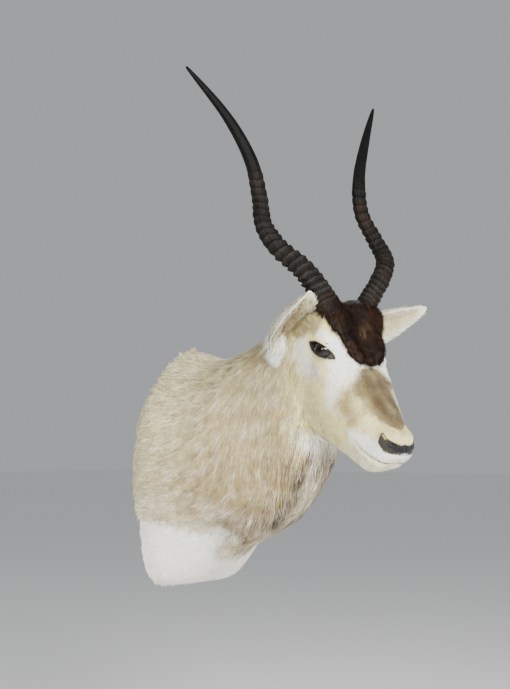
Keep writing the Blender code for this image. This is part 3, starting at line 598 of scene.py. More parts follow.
def body_colours(points, place, angle):
    """Cream at the wall, beige on the neck, a darker mane edge with streaks, painted shade low on the front
    of the neck, a white lobe.
    """
    colours = plain(points, "wall cream")
    out, up = -points[..., 1], points[..., 2]
    low = smoothstep(0.10, -0.06, up)
    colours = paint(colours, "beige", smoothstep(0.05, 0.16, out))
    colours = paint(colours, "tan", 0.74 * low * smoothstep(0.03, 0.14, out))
    streaky = (ripple(points * (1.0, 1.0, 0.30), 0.010, 18)
               + 0.6 * ripple(points * (1.0, 1.0, 0.35), 0.026, 19))
    colours = paint(colours, "tan", 0.20 * smoothstep(0.0, 1.2, streaky) * smoothstep(0.02, 0.10, out))
    colours = paint(colours, "warm cream", 0.30 * smoothstep(0.0, 1.2, -streaky))
    colours = paint(colours, "tan", 0.30 * (0.5 + 0.5 * ripple(points * (1.0, 1.0, 0.45), 0.085, 11)))
    colours = paint(colours, "wall cream", 0.35 * smoothstep(0.1, 0.9, ripple(points, 0.11, 12)))
    from_front = math.pi - np.abs(angle)
    on_mane = smoothstep(3.6, 4.2, place) * (1.0 - smoothstep(6.6, 7.6, place))
    front = on_mane * (1.0 - smoothstep(0.26, 0.50, from_front))
    ragged = ripple(points * (1.0, 1.0, 0.3), 0.016, 13)
    colours = paint(colours, "warm cream", front * (0.55 + 0.35 * ragged))
    low_mane = on_mane * smoothstep(0.9, 0.5, from_front) * smoothstep(0.0, -0.08, up)
    colours = paint(colours, "tan", 0.55 * low_mane)
    hem = hem_height(out) + 0.005 * ripple(points, 0.040, 17)
    hem = hem - FRONT_HEM_DROP * (1.0 - smoothstep(0.15, 0.55, from_front))
    band = smoothstep(-0.040, -0.065, up) * smoothstep(hem - 0.012, hem + 0.004, up)
    swirl = 0.5 + 0.5 * ripple(points * (1.0, 0.5, 1.6), 0.050, 15)
    swept = smoothstep(0.03, 0.07, out) * smoothstep(0.22, 0.14, out)
    colours = paint(colours, "tan", 0.40 * band * swirl * swept)
    colours = paint(colours, "warm cream", 0.55 * band * (1.0 - swirl) * smoothstep(0.24, 0.17, out))
    # Painted shade, laid on in mane brown, low on the front of the neck above the hem.
    shaded = smoothstep(-0.02, -0.09, up) * smoothstep(0.10, 0.16, out) * smoothstep(1.3, 0.7, from_front)
    colours = paint(colours, "mane brown", shaded * smoothstep(-0.135, -0.105, up) * (0.26 + 0.20 * ragged))
    dark = np.maximum(brush(points, MANE_STREAK, 0.9), 0.55 * brush(points, MANE_FRONT_STREAK, 0.9))
    colours = paint(colours, "mane brown", dark * (1.10 + 0.45 * ragged))
    lobe = smoothstep(hem + 0.002, hem - 0.014, up)
    colours = paint(colours, "lobe white", lobe)
    wedge = 0.50 * (up + 0.205) / 0.075
    return paint(colours, "tan", 0.24 * lobe * smoothstep(wedge + 0.16, wedge - 0.16, from_front))


def head_colours(points, colours):
    """The face over the body's colours: cream cheeks, mask, bridge, lips and tuft."""
    left, forward, up = in_head(points)
    on_face = np.maximum(smoothstep(0.045, 0.075, up), smoothstep(0.05, 0.09, forward))
    colours = paint(colours, "cheek cream", smoothstep(0.000, 0.050, forward) * on_face)
    strands = 0.75 + 0.35 * ripple(points * (1.0, 1.0, 0.2), 0.007, 36)
    colours = paint(colours, "white", brush(points, THROAT_WHITE, 0.8) * strands * smoothstep(0.09, 0.07, up))
    colours = paint(colours, "warm cream", 0.95 * brush(points, BEHIND_EYE, 0.9))
    colours = paint(colours, "white", 0.55 * brush(points, BEHIND_EYE, 0.9))
    under = smoothstep(0.06, 0.02, up) * smoothstep(0.09, 0.16, forward)
    colours = paint(colours, "warm cream", 0.8 * under)
    colours = paint(colours, "tan", 0.80 * brush(points, BRIDGE_WING, 0.9))
    colours = paint(colours, "tan", 0.30 * smoothstep(0.195, 0.225, forward) * smoothstep(0.055, 0.070, up))
    blotch = ripple(points, 0.020, 20)
    colours = paint(colours, "tan", 0.22 * smoothstep(0.0, 1.0, blotch) * smoothstep(0.02, 0.05, forward))
    colours = paint(colours, "warm cream", 0.30 * smoothstep(0.0, 1.0, -blotch))
    # Olive hair over the eye, with painted shade at its end beside the horn's root.
    colours = paint(colours, "olive", 0.80 * brush(points, OLIVE_AND_SHADE_OVER_EYE, 0.7))
    colours = paint(colours, "tan", 0.38 * brush(points, TAN_UNDER_EYE, 0.9))
    worn = ripple(points, 0.026, 14)
    fade = 1.0 - 0.45 * smoothstep(0.020, 0.048, np.abs(left)) * smoothstep(0.138, 0.112, up)
    colours = paint(colours, "taupe", brush(points, BRIDGE, 0.16, ragged=0.06) * fade * (0.92 + 0.10 * worn))
    colours = paint(colours, "dark bridge", 0.65 * brush(points, BRIDGE_DARK, 0.9) * (0.85 + 0.20 * worn))
    # A painted light rim: warm cream along the far side of the muzzle only.
    rim = smoothstep(0.020, 0.036, left) * smoothstep(0.15, 0.17, forward) * smoothstep(0.15, 0.13, up)
    colours = paint(colours, "warm cream", 0.75 * rim)
    colours = paint(colours, "white", 0.8 * brush(points, NOSE_SPOT, 0.4, mirrored=False))
    lower = 1.0 - 0.35 * smoothstep(0.160, 0.120, up)
    colours = paint(colours, "white", brush(points, WHITE_MASK, 0.78, ragged=0.22) * lower)
    colours = paint(colours, "white", brush(points, WHITE_BAR, 0.35, ragged=0.20))
    colours = paint(colours, "white", 0.95 * brush(points, UPPER_LIP, 0.60, ragged=0.15))
    colours = paint(colours, "chestnut dark", smoothstep(-0.0015, 0.0015, tuft_distance(points)))
    nape = smoothstep(0.245, 0.275, up) * smoothstep(0.075, 0.060, forward) * smoothstep(-0.05, 0.03, forward)
    return paint(colours, "olive", 0.5 * nape)


def bare_colours(points, colours):
    """Skin with no hair on it: the nose leather, painted shade in its slits and cleft and in the mouth's
    crease, and the rims of the eyes.
    """
    colours = paint(colours, "leather", brush(points, NOSE_LEATHER, 0.12))
    colours = paint(colours, "leather dark", brush(points, NOSE_DARKEST, 0.6))
    # Painted shade: the nostril slits and the cleft of the nose are painted near black.
    colours = paint(colours, "slit", brush(points, NOSTRIL_SLIT, 0.4))
    colours = paint(colours, "slit", 0.7 * brush(points, NOSE_CLEFT, 0.5) * brush(points, NOSE_LEATHER, 0.1))
    # Painted shade: the crease of the mouth is painted dark.
    colours = paint(colours, "mouth", brush(points, MOUTH_LINE, 0.6))
    near_eye = eye_distance(points)
    colours = paint(colours, "lid", smoothstep(0.0032, 0.0018, near_eye))
    along = eye_plane(points)[0]
    corner = smoothstep(TEAR_CORNER_FROM - 0.002, TEAR_CORNER_FROM + 0.004, along)
    return paint(colours, "tear corner", corner * smoothstep(0.0, -0.002, near_eye))


# %% [markdown]
# ## Shared effects for the materials
# Several materials need the mottling that keeps a surface from looking like one flat colour, so it is
# one node group with its own inputs. The shaders stay in the materials.


# %% Node groups
def fill(node, values):
    """Set plain values on a node's inputs by their names."""
    for name, value in values.items():
        node.inputs[name].default_value = value


def new_group(name, inputs, outputs):
    """An empty shader node group with named sockets, and its two end nodes."""
    tree = bpy.data.node_groups.new(name, "ShaderNodeTree")
    for label, kind, value in inputs:
        socket = tree.interface.new_socket(name=label, in_out="INPUT", socket_type=kind)
        if value is not None:
            socket.default_value = value
    for label, kind in outputs:
        tree.interface.new_socket(name=label, in_out="OUTPUT", socket_type=kind)
    return tree, tree.nodes.new("NodeGroupInput"), tree.nodes.new("NodeGroupOutput")


def mottle_group():
    """A colour made lighter and darker by noise on Object coordinates, and the noise as a height."""
    tree, given, result = new_group("mottle", [
        ("Color", "NodeSocketColor", (0.5, 0.5, 0.5, 1.0)), ("Scale", "NodeSocketFloat", 60.0),
        ("Darkest", "NodeSocketFloat", 0.8), ("Lightest", "NodeSocketFloat", 1.15)],
        [("Color", "NodeSocketColor"), ("Height", "NodeSocketFloat")])
    place = tree.nodes.new("ShaderNodeTexCoord")
    noise = tree.nodes.new("ShaderNodeTexNoise")
    noise.inputs["Detail"].default_value = 5.0
    gain = tree.nodes.new("ShaderNodeMapRange")
    fill(gain, {"From Min": 0.30, "From Max": 0.70})
    scaled = tree.nodes.new("ShaderNodeVectorMath")
    scaled.operation = "SCALE"
    link = tree.links.new
    link(place.outputs["Object"], noise.inputs["Vector"])
    link(given.outputs["Scale"], noise.inputs["Scale"])
    link(noise.outputs["Fac"], gain.inputs["Value"])
    link(given.outputs["Darkest"], gain.inputs["To Min"])
    link(given.outputs["Lightest"], gain.inputs["To Max"])
    link(given.outputs["Color"], scaled.inputs[0])
    link(gain.outputs["Result"], scaled.inputs["Scale"])
    link(scaled.outputs["Vector"], result.inputs["Color"])
    link(noise.outputs["Fac"], result.inputs["Height"])
    return tree


MOTTLE = mottle_group()


def new_material(name):
    """A material with nodes, its tree and its Principled shader."""
    material = bpy.data.materials.new(name)
    material.use_nodes = True
    return material, material.node_tree, material.node_tree.nodes["Principled BSDF"]


def add_mottle(tree, colour, scale, darkest, lightest):
    """Put the mottle group after a colour socket, or after a plain colour."""
    node = tree.nodes.new("ShaderNodeGroup")
    node.node_tree = MOTTLE
    fill(node, {"Scale": scale, "Darkest": darkest, "Lightest": lightest})
    if isinstance(colour, tuple):
        node.inputs["Color"].default_value = (*colour, 1.0)
    else:
        tree.links.new(colour, node.inputs["Color"])
    return node


def attribute_colour(tree, name):
    """The colour that a mesh carries under this name."""
    node = tree.nodes.new("ShaderNodeAttribute")
    node.attribute_name = name
    return node.outputs["Color"]


# %% Coat materials
def coat_material(name, roughness, scale, darkest, lightest, bump):
    """Hair or skin: the mesh's own colour, mottled at the scale of a lock, with a soft sheen."""
    material, tree, shader = new_material(name)
    mottle = add_mottle(tree, attribute_colour(tree, "coat"), scale, darkest, lightest)
    tree.links.new(mottle.outputs["Color"], shader.inputs["Base Color"])
    fill(shader, {"Roughness": roughness, "Specular IOR Level": 0.15, "Sheen Weight": 0.10,
                  "Sheen Roughness": 0.6})
    if bump:
        height = tree.nodes.new("ShaderNodeBump")
        fill(height, {"Strength": bump, "Distance": 0.001})
        tree.links.new(mottle.outputs["Height"], height.inputs["Height"])
        tree.links.new(height.outputs["Normal"], shader.inputs["Normal"])
    return material


hair_material = coat_material("hair", 0.62, 140.0, 0.86, 1.10, 0.0)
skin_material = coat_material("haired_skin", 0.70, 420.0, 0.72, 1.05, 0.6)
print("coat materials:", hair_material.name, skin_material.name)

# %% [markdown]
# ## The skin as two closed sheets
# One sheet with the head's fineness everywhere would be too heavy, so the body and the head are two
# sheets of the same surface that overlap under the neck's hair. The body's back turns in over the rim
# and round the pocket that the board sits in, so it is closed.

# %% Lay out the two sheets
BODY_ROWS = 110
BODY_AROUND = 200
HEAD_AROUND = 320
HEAD_ROW_STOPS = ((8.2, 34), (9.4, 110), (12.0, 70), (15.4, 84), (LAST_PLACE, 0))
BODY_ENDS_AT = 8.8
BOARD_INSET = 0.018
BOARD_GAP = 0.0003
BOARD_THICKNESS = 0.018
MUZZLE_BULGE = 0.003
FORM_COLOUR = (0.42, 0.36, 0.27)
# The skin is painted this much darker than the hair that covers it: painted shade under the hair.
BODY_SHADE_UNDER_HAIR = 0.8
HEAD_SHADE_UNDER_HAIR = 0.85
EAR_SHADE_UNDER_HAIR = 0.9
# From here on the body's sheet sinks under the head's.
TUCK_PLACES = (8.15, 8.35)
TUCK_DEPTH = 0.0015


def dressed_grid(places, around):
    """Positions and normals of the skin with its relief, on a grid of places by angles."""
    angles = np.linspace(0.0, 2.0 * math.pi, around, endpoint=False)
    place, angle = np.meshgrid(places, angles, indexing="ij")
    points = skin_points(place, angle)
    middle = points.mean(axis=1, keepdims=True)
    normals = grid_normals(points, middle)
    points = points + relief(points)[..., None] * normals
    from_top = np.where(angle > math.pi, angle - 2.0 * math.pi, angle)
    return {"places": places, "place": place, "angle": from_top, "points": points,
            "normals": grid_normals(points, middle)}


head_spans = [np.linspace(low, high, count, endpoint=False)
              for (low, count), (high, _) in zip(HEAD_ROW_STOPS[:-1], HEAD_ROW_STOPS[1:])]
head_places = np.concatenate(head_spans + [[LAST_PLACE]])
body = dressed_grid(np.linspace(0.0, BODY_ENDS_AT, BODY_ROWS), BODY_AROUND)
head = dressed_grid(head_places, HEAD_AROUND)
print("body grid", body["points"].shape, "head grid", head["points"].shape)


def coat_colours(grid):
    """Body and head markings on a grid's points."""
    colours = body_colours(grid["points"], grid["place"], grid["angle"])
    return head_colours(grid["points"], colours)


# %% Sew the body's sheet
def pocket_rings(rim):
    """Rings from the pocket's floor up its wall, the outline of the board drawn in from the rim."""
    height = HIDE_SECTIONS["wall edge"][1]
    width = HIDE_SECTIONS["wall edge"][4]
    inset = BOARD_INSET - BOARD_GAP
    outline = rim * ((width - inset) / width, 1.0, (height - inset) / height)
    floor = -(BOARD_THICKNESS + BOARD_GAP)
    levels = (floor, floor * 0.66, floor * 0.33, rim[0, 1])
    rings = [np.stack([outline[:, 0], np.full(len(rim), level), outline[:, 2]], axis=1) for level in levels]
    rings += [outline + (rim - outline) * share for share in (0.33, 0.66)]
    return np.array(rings), np.array([0.0, floor, 0.0])


back_rings, back_pole = pocket_rings(body["points"][0])
tucked = body["points"].copy()
tuck = smoothstep(*TUCK_PLACES, body["place"])[..., None] * TUCK_DEPTH
tucked = tucked - tuck * body["normals"]
body_mesh = closed_sheet("hide_body", np.concatenate([back_rings, tucked]), back_pole,
                         tucked[-1].mean(axis=0))
form_colour = np.ones((back_rings.shape[0] * BODY_AROUND, 3)) * FORM_COLOUR
# The body's skin is darkened by painted shade under its hair.
body_coat = np.concatenate([form_colour, coat_colours(body).reshape(-1, 3) * BODY_SHADE_UNDER_HAIR,
                            np.ones((2, 3)) * FORM_COLOUR])
set_colours(body_mesh, "coat", body_coat)
hide_body = add_piece(body_mesh, skin_material, ["hide"])
print("hide_body triangles:", 2 * len(body_mesh.polygons))

# %% Sew the head's sheet
muzzle_tip = head["points"][-1].mean(axis=0) + along_head((0.0, 1.0, -0.6)) * MUZZLE_BULGE
head_mesh = closed_sheet("hide_head", head["points"], head["points"][0].mean(axis=0), muzzle_tip)
# The head's skin is darkened by painted shade under its hair.
head_coat = bare_colours(head["points"], coat_colours(head) * HEAD_SHADE_UNDER_HAIR).reshape(-1, 3)
set_colours(head_mesh, "coat", np.concatenate([head_coat, head_coat[:1], np.array([COAT["white"]])]))
hide_head = add_piece(head_mesh, skin_material, ["hide"])
print("hide_head triangles:", 2 * len(head_mesh.polygons))

# %% [markdown]
# ## Ears
# An addax ear is a long pointed cup. Its section is a crescent whose two faces are a few millimetres
# apart, so one closed ring that goes up the inner face and down the outer one makes the whole ear, with
# its rim, when it is swept from the root inside the head to the tip.

# %% Shape the ears
EARS = {
    "right": ((-0.061, -0.014, 0.207), (-0.096, 0.115, 0.307), (0.00, 0.80, -0.40)),
    "left": ((0.062, 0.016, 0.228), (0.167, 0.127, 0.297), (0.05, 0.80, -0.40)),
}
EAR_HALF_WIDTH = {"right": 0.043, "left": 0.036}
EAR_CUP = 0.030
EAR_THICKNESS = 0.0045
EAR_SPAN = (-0.12, 0.985)
EAR_ROWS = 90
EAR_AROUND = 120
COAT["ear white"] = (0.930, 0.900, 0.760)
COAT["ear cream"] = (0.840, 0.720, 0.360)
COAT["ear valley shade"] = (0.520, 0.400, 0.220)
# How deep each ear's valley is, and how strongly the ear's painted shade is laid on.
EAR_VALLEY = {"right": 1.0, "left": 0.15}


def ear_grid(side):
    """An ear's points: across is the cosine of the angle, and the crescent's depth its square.

    The inner face is raised by the fur that fills the cup, but for a narrow valley in its middle.
    """
    base, tip = on_head(EARS[side][0]), on_head(EARS[side][1])
    axis = tip - base
    length = np.linalg.norm(axis)
    axis = axis / length
    facing = along_head(EARS[side][2])
    facing = unit(facing - axis * (facing @ axis))
    across = np.cross(axis, facing)
    t, angle = np.meshgrid(np.linspace(*EAR_SPAN, EAR_ROWS),
                           np.linspace(0.0, 2.0 * math.pi, EAR_AROUND, endpoint=False), indexing="ij")
    half_width = EAR_HALF_WIDTH[side]
    width = half_width * (0.42 + 0.58 * smoothstep(-0.1, 0.38, t))
    width = width * np.maximum(1.0 - np.maximum(t - 0.30, 0.0) ** 1.7 / 0.70 ** 1.7, 0.0) ** 0.75
    width = width + 0.02 * half_width
    cup = EAR_CUP * (1.0 - smoothstep(0.35, 1.0, t)) + 0.004
    thick = EAR_THICKNESS * (1.0 + 1.6 * smoothstep(0.25, -0.1, t)) * (1.0 - 0.5 * smoothstep(0.6, 1.0, t))
    share = np.cos(angle)
    inner = smoothstep(-0.2, 0.2, np.sin(angle))
    valley = EAR_VALLEY[side] * np.exp(-(share / 0.24) ** 2)
    pad = inner * (1.0 - share ** 2) * cup * (0.52 - 0.36 * valley)
    depth = pad - cup * (1.0 - share ** 2) + thick * 0.5 * np.sin(angle)
    points = (base + (length * t)[..., None] * axis + (share * width)[..., None] * across
              + depth[..., None] * facing)
    curl = 0.0015 * ripple(points, 0.035, 41)
    points = points + curl[..., None] * facing
    normals = grid_normals(points, points.mean(axis=1, keepdims=True))
    normals = np.where(np.sum(normals * facing, axis=-1, keepdims=True) * (inner[..., None] - 0.5) < 0.0,
                       -normals, normals)
    return {"points": points, "normals": normals, "place": t, "angle": angle, "inner": inner,
            "share": share, "tip": tip, "axis": axis, "places": t[:, 0], "valley": EAR_VALLEY[side]}


def ear_colours(grid):
    """White outside and on the rim, cream inside, painted shade in tan in the valley and in olive beside the
    horn.
    """
    share = np.abs(grid["share"])
    colours = plain(grid["points"], "ear white")
    colours = paint(colours, "ear cream", 0.6 * grid["inner"] * smoothstep(0.90, 0.45, share))
    # Painted shade in the valley of the cup, laid on in tan.
    valley = grid["inner"] * smoothstep(0.42, 0.12, share) * smoothstep(0.90, 0.60, grid["place"])
    colours = paint(colours, "ear valley shade", valley * grid["valley"])
    # Painted shade: olive on the inner face on the side of the horn.
    shade_beside_horn = smoothstep(0.0, 0.6, grid["share"]) * smoothstep(0.95, 0.60, grid["place"])
    return paint(colours, "olive", 0.30 * grid["inner"] * grid["valley"] * shade_beside_horn)


ears = {side: ear_grid(side) for side in EARS}
for side, grid in ears.items():
    ear_mesh = closed_sheet("ear_" + side, grid["points"], grid["points"][0].mean(axis=0), grid["tip"])
    # The ear's skin is darkened by painted shade under its hair.
    ear_coat = ear_colours(grid).reshape(-1, 3) * EAR_SHADE_UNDER_HAIR
    set_colours(ear_mesh, "coat", np.concatenate([ear_coat, np.ones((2, 3)) * COAT["ear white"]]))
    add_piece(ear_mesh, skin_material, ["hide"])
print("ears:", ", ".join(ears))

# %% [markdown]
# ## Horns
# A horn is a tube along a spiral path. Below, it carries ledges like a saw: each rises slowly towards
# the tip and drops steeply, higher on the outer side than on the inner one, and each ring leans a
# little. Above them the horn is smooth. Fine grooves run along it. All of this is one radius, worked
# out at every place along the path and every angle round it.

# %% Horn sizes
HORN_PATH = np.array([
    (0.020, 0.097, 0.252), (0.045, 0.096, 0.294), (0.088, 0.089, 0.347), (0.125, 0.061, 0.389),
    (0.131, 0.026, 0.434), (0.121, 0.000, 0.490), (0.130, -0.016, 0.561), (0.167, -0.040, 0.641),
    (0.227, -0.081, 0.731)])
HORN_ROOT_RADIUS = 0.0194
HORN_MIDDLE_RADIUS = 0.0134
HORN_TIP_RADIUS = 0.0016
HORN_MIDDLE = 0.55
HORN_OVAL = 0.20
HORN_OVAL_TOWARDS = np.array([-0.643, -0.766, 0.0])
HORN_RINGS = 21
HORN_RINGS_START = 0.085
HORN_RINGS_END = 0.60
HORN_RING_DEPTH = 0.0062
HORN_SHOWN = 0.997
HORN_ROWS = 820
HORN_AROUND = 84
# Side, name and seed of its random details.
HORNS = ((-1.0, "right", 51), (1.0, "left", 52))


def horn_middle(side, places):
    """Points of a horn's middle line at shares of its length, read evenly from a spline."""
    fine = spline(HORN_PATH * (side, 1.0, 1.0), np.linspace(0.0, len(HORN_PATH) - 1, 600))
    travelled = np.concatenate([[0.0], np.cumsum(np.linalg.norm(np.diff(fine, axis=0), axis=1))])
    read = [np.interp(places, travelled / travelled[-1], fine[:, axis]) for axis in range(3)]
    return on_head(np.stack(read, axis=-1))


def horn_radius(place):
    """The plain radius: a gentle power curve to the middle, then a rounder one to the tip."""
    below = np.clip(1.0 - place / HORN_MIDDLE, 0.0, 1.0)
    above = np.clip((1.0 - place) / (1.0 - HORN_MIDDLE), 0.0, 1.0)
    lower = HORN_MIDDLE_RADIUS + (HORN_ROOT_RADIUS - HORN_MIDDLE_RADIUS) * below ** 1.6
    upper = HORN_TIP_RADIUS + (HORN_MIDDLE_RADIUS - HORN_TIP_RADIUS) * above ** 0.62
    return np.where(place < HORN_MIDDLE, lower, upper)


# %% Rings and grooves of a horn
def horn_relief(place, angle, seed):
    """Height over the plain radius, and how far up its ledge each point is.

    The rings' number grows with the place to the power 1 / 1.2; its fraction rises as a saw whose
    crest is at 0.7. Grooves are sines of the angle whose phase drifts along the horn.
    """
    dice = np.random.default_rng(seed)
    lean = 0.0055 * np.cos(angle - 0.6) + 0.0022 * np.sin(2.0 * angle + 9.0 * place)
    lean = lean + 0.0010 * np.sin(5.0 * angle + 60.0 * place) + 0.0008 * np.sin(9.0 * angle - 95.0 * place)
    share = np.clip((place + lean - HORN_RINGS_START) / (HORN_RINGS_END - HORN_RINGS_START), 0.0, 1.0)
    count = share ** (1.0 / 1.2) * HORN_RINGS
    number = np.minimum(count.astype(int), HORN_RINGS - 1)
    crest = 0.70 + 0.06 * dice.uniform(-1.0, 1.0, HORN_RINGS)[number]
    phase = count - number
    saw = np.where(phase < crest, smoothstep(-0.15, crest, phase), smoothstep(1.03, crest, phase))
    strength = np.minimum(1.0, 0.55 + 2.5 * share) * (1.0 - 0.75 * share ** 2)
    strength = strength * (0.85 + 0.3 * dice.uniform(-1.0, 1.0, HORN_RINGS)[number])
    outer = 0.82 - 0.28 * np.cos(angle - 0.3) * (1.0 - 1.6 * share)
    inside = smoothstep(0.0, 0.004, share) * smoothstep(1.0, 0.985, share)
    ledge = inside * strength * outer * (saw - 0.55)
    grooves = np.zeros_like(place)
    for waves, size in ((9, 0.00030), (17, 0.00024), (31, 0.00014)):
        drift = dice.uniform(0.0, 6.0) + dice.uniform(-1.5, 1.5) * np.sin(place * dice.uniform(8.0, 20.0))
        grooves += size * np.sin(waves * angle + drift)
    worn = 1.0 - 0.75 * smoothstep(0.55, 0.75, place)
    return HORN_RING_DEPTH * ledge + grooves * worn, saw * inside


def horn_grid(side, seed):
    """A horn's points: its middle line plus its radius in two directions across the path."""
    place, angle = np.meshgrid(np.linspace(0.0, HORN_SHOWN, HORN_ROWS),
                               np.linspace(0.0, 2.0 * math.pi, HORN_AROUND, endpoint=False), indexing="ij")
    middle = horn_middle(side, place[:, 0])
    tangent = unit(np.gradient(middle, axis=0))
    towards = HORN_OVAL_TOWARDS * (side, 1.0, 1.0)
    first = unit(towards - (tangent @ towards)[:, None] * tangent)
    second = np.cross(tangent, first)
    height, saw = horn_relief(place, angle, seed)
    radius = horn_radius(place) - 0.0008 * smoothstep(0.07, 0.03, place) + height
    radius = radius * (1.0 + 0.015 * ripple(middle[:, None, :], 0.03, seed + 5))
    oval = 1.0 + HORN_OVAL * np.clip(1.0 - place / HORN_MIDDLE, 0.0, 1.0)
    points = (middle[:, None, :] + (radius * oval * np.cos(angle))[..., None] * first[:, None, :]
              + (radius * np.sin(angle))[..., None] * second[:, None, :])
    return points, saw, height, place


# %% [markdown]
# Horn is keratin: near black, browner where the ledges are worn, and with a slight polish at the tip.
# The crests of the ledges are painted greyer and the grooves between them darker, as painted shade.
# The mesh carries how far up its ledge each point is and how far along the horn it lies, so the
# colour follows the form.


# %% Horn material
def horn_material():
    """Painted shade dark in the grooves and greyer on the crests, brown in patches, smoother at the tip."""
    material, tree, shader = new_material("ringed_horn")
    mottle = add_mottle(tree, attribute_colour(tree, "coat"), 55.0, 0.60, 1.40)
    shader.inputs["Specular IOR Level"].default_value = 0.11
    tree.links.new(mottle.outputs["Color"], shader.inputs["Base Color"])
    place = tree.nodes.new("ShaderNodeTexCoord")
    fine = tree.nodes.new("ShaderNodeTexNoise")
    fill(fine, {"Scale": 480.0, "Detail": 4.0})
    rough = tree.nodes.new("ShaderNodeMapRange")
    fill(rough, {"To Min": 0.48, "To Max": 0.72})
    bump = tree.nodes.new("ShaderNodeBump")
    fill(bump, {"Strength": 0.20, "Distance": 0.0004})
    tree.links.new(place.outputs["Object"], fine.inputs["Vector"])
    tree.links.new(fine.outputs["Fac"], rough.inputs["Value"])
    tree.links.new(rough.outputs["Result"], shader.inputs["Roughness"])
    tree.links.new(fine.outputs["Fac"], bump.inputs["Height"])
    tree.links.new(bump.outputs["Normal"], shader.inputs["Normal"])
    return material


COAT["horn dark"] = (0.0035, 0.0028, 0.0022)
COAT["horn grey"] = (0.0165, 0.0145, 0.0120)
COAT["horn brown"] = (0.0165, 0.0090, 0.0048)
COAT["horn tip"] = (0.0028, 0.0026, 0.0025)


def horn_colours(points, saw, height, place, seed):
    """Grey crests over dark grooves as painted shade, brown in patches on the ringed part, dark at the tip.
    """
    colours = plain(points, "horn dark")
    ringed = 1.0 - smoothstep(0.50, 0.66, place)
    near_root = 1.30 - 0.60 * smoothstep(0.12, 0.40, place)
    # Painted shade: grey on the crests of the ledges, dark in the grooves between them.
    colours = paint(colours, "horn grey", ringed * near_root * (0.15 + 0.60 * saw ** 2))
    patch = smoothstep(0.15, 0.75, ripple(points, 0.050, seed)) * ringed
    colours = paint(colours, "horn brown", 0.55 * patch * (0.4 + 0.6 * saw))
    # Painted shade on the smooth part: greyer where the fine grooves stand up, darker in them.
    colours = paint(colours, "horn grey", 0.20 * smoothstep(0.0, 0.0005, height) * (1.0 - ringed))
    return paint(colours, "horn tip", smoothstep(0.62, 0.80, place))


ringed_horn = horn_material()
for side, word, seed in HORNS:
    points, saw, height, place = horn_grid(side, seed)
    ends = horn_middle(side, np.array([0.0, 1.0]))
    horn_mesh = closed_sheet("horn_" + word + "_ringed", points, ends[0], ends[1])
    horn_coat = horn_colours(points, saw, height, place, seed).reshape(-1, 3)
    set_colours(horn_mesh, "coat", np.concatenate([horn_coat, horn_coat[:1], horn_coat[-1:]]))
    add_piece(horn_mesh, ringed_horn, ["horn_" + word])
print("horn triangles:", 2 * len(horn_mesh.polygons))

# %% [markdown]
# ## Glass eyes
# A taxidermist's eye is a flattened ball of dark glass with a bulge in front for the cornea. It is
# turned here as a profile about the direction in which the eye looks. Under a clear hard gloss the iris is
# dark brown with a wide black pupil that lies level, and the colour comes from each point's place in
# the eye's own plane.

# %% Make the eyes
EYE_MIDDLE = (0.0605, 0.1050, 0.2090)
EYE_RADIUS = 0.0180
EYE_FLATNESS = 0.80
EYE_FACING = (0.88, 0.42, 0.10)
CORNEA_BULGE = 0.0012
IRIS_EDGE = (0.0105, 0.0085)
PUPIL_HALF_SIZES = (0.0062, 0.0034)
EYE_ROWS = 60
EYE_AROUND = 96
COAT["iris"] = (0.010, 0.006, 0.004)
COAT["pupil"] = (0.002, 0.002, 0.002)
COAT["white of the eye"] = (0.016, 0.018, 0.017)


def eye_shape(side):
    """Points of an eye, with their distance from the axis: r sin(t) across and f r cos(t) along."""
    middle = on_head((side * EYE_MIDDLE[0], *EYE_MIDDLE[1:]))
    facing = along_head((side * EYE_FACING[0], *EYE_FACING[1:]))
    level = unit(np.cross(UP, facing))
    rise = np.cross(facing, level)
    t, angle = np.meshgrid(np.linspace(0.0, math.pi, EYE_ROWS + 2)[1:-1],
                           np.linspace(0.0, 2.0 * math.pi, EYE_AROUND, endpoint=False), indexing="ij")
    across = EYE_RADIUS * np.sin(t)
    cornea = CORNEA_BULGE * smoothstep(0.62, 0.30, t)
    depth = EYE_RADIUS * EYE_FLATNESS * np.cos(t) + cornea
    flat = np.stack([across * np.cos(angle), across * np.sin(angle)], axis=-1)
    points = (middle + flat[..., 0:1] * level + flat[..., 1:2] * rise + depth[..., None] * facing)
    poles = (middle + facing * (EYE_RADIUS * EYE_FLATNESS + CORNEA_BULGE),
             middle - facing * EYE_RADIUS * EYE_FLATNESS)
    return points, flat, poles


def glass_material():
    """Dark glass: the painted iris under a clear coat with almost no roughness."""
    material, tree, shader = new_material("eye_glass_dark")
    mottle = add_mottle(tree, attribute_colour(tree, "coat"), 900.0, 0.75, 1.25)
    tree.links.new(mottle.outputs["Color"], shader.inputs["Base Color"])
    fill(shader, {"Roughness": 0.10, "Specular IOR Level": 0.10, "Coat Weight": 0.16,
                  "Coat Roughness": 0.02})
    return material


eye_glass = glass_material()
for side, word in ((-1.0, "right"), (1.0, "left")):
    points, flat, poles = eye_shape(side)
    iris = smoothstep(*IRIS_EDGE, np.hypot(flat[..., 0], flat[..., 1]))
    pupil = smoothstep(1.1, 0.9, np.hypot(*np.moveaxis(flat / PUPIL_HALF_SIZES, -1, 0)))
    tint = paint(paint(plain(points, "white of the eye"), "iris", iris), "pupil", pupil)
    eye_mesh = closed_sheet("eye_" + word + "_glass", points, *poles)
    set_colours(eye_mesh, "coat", np.concatenate([tint.reshape(-1, 3), np.array([COAT["pupil"]] * 2)]))
    add_piece(eye_mesh, eye_glass, ["eye_" + word])
print("eyes made")

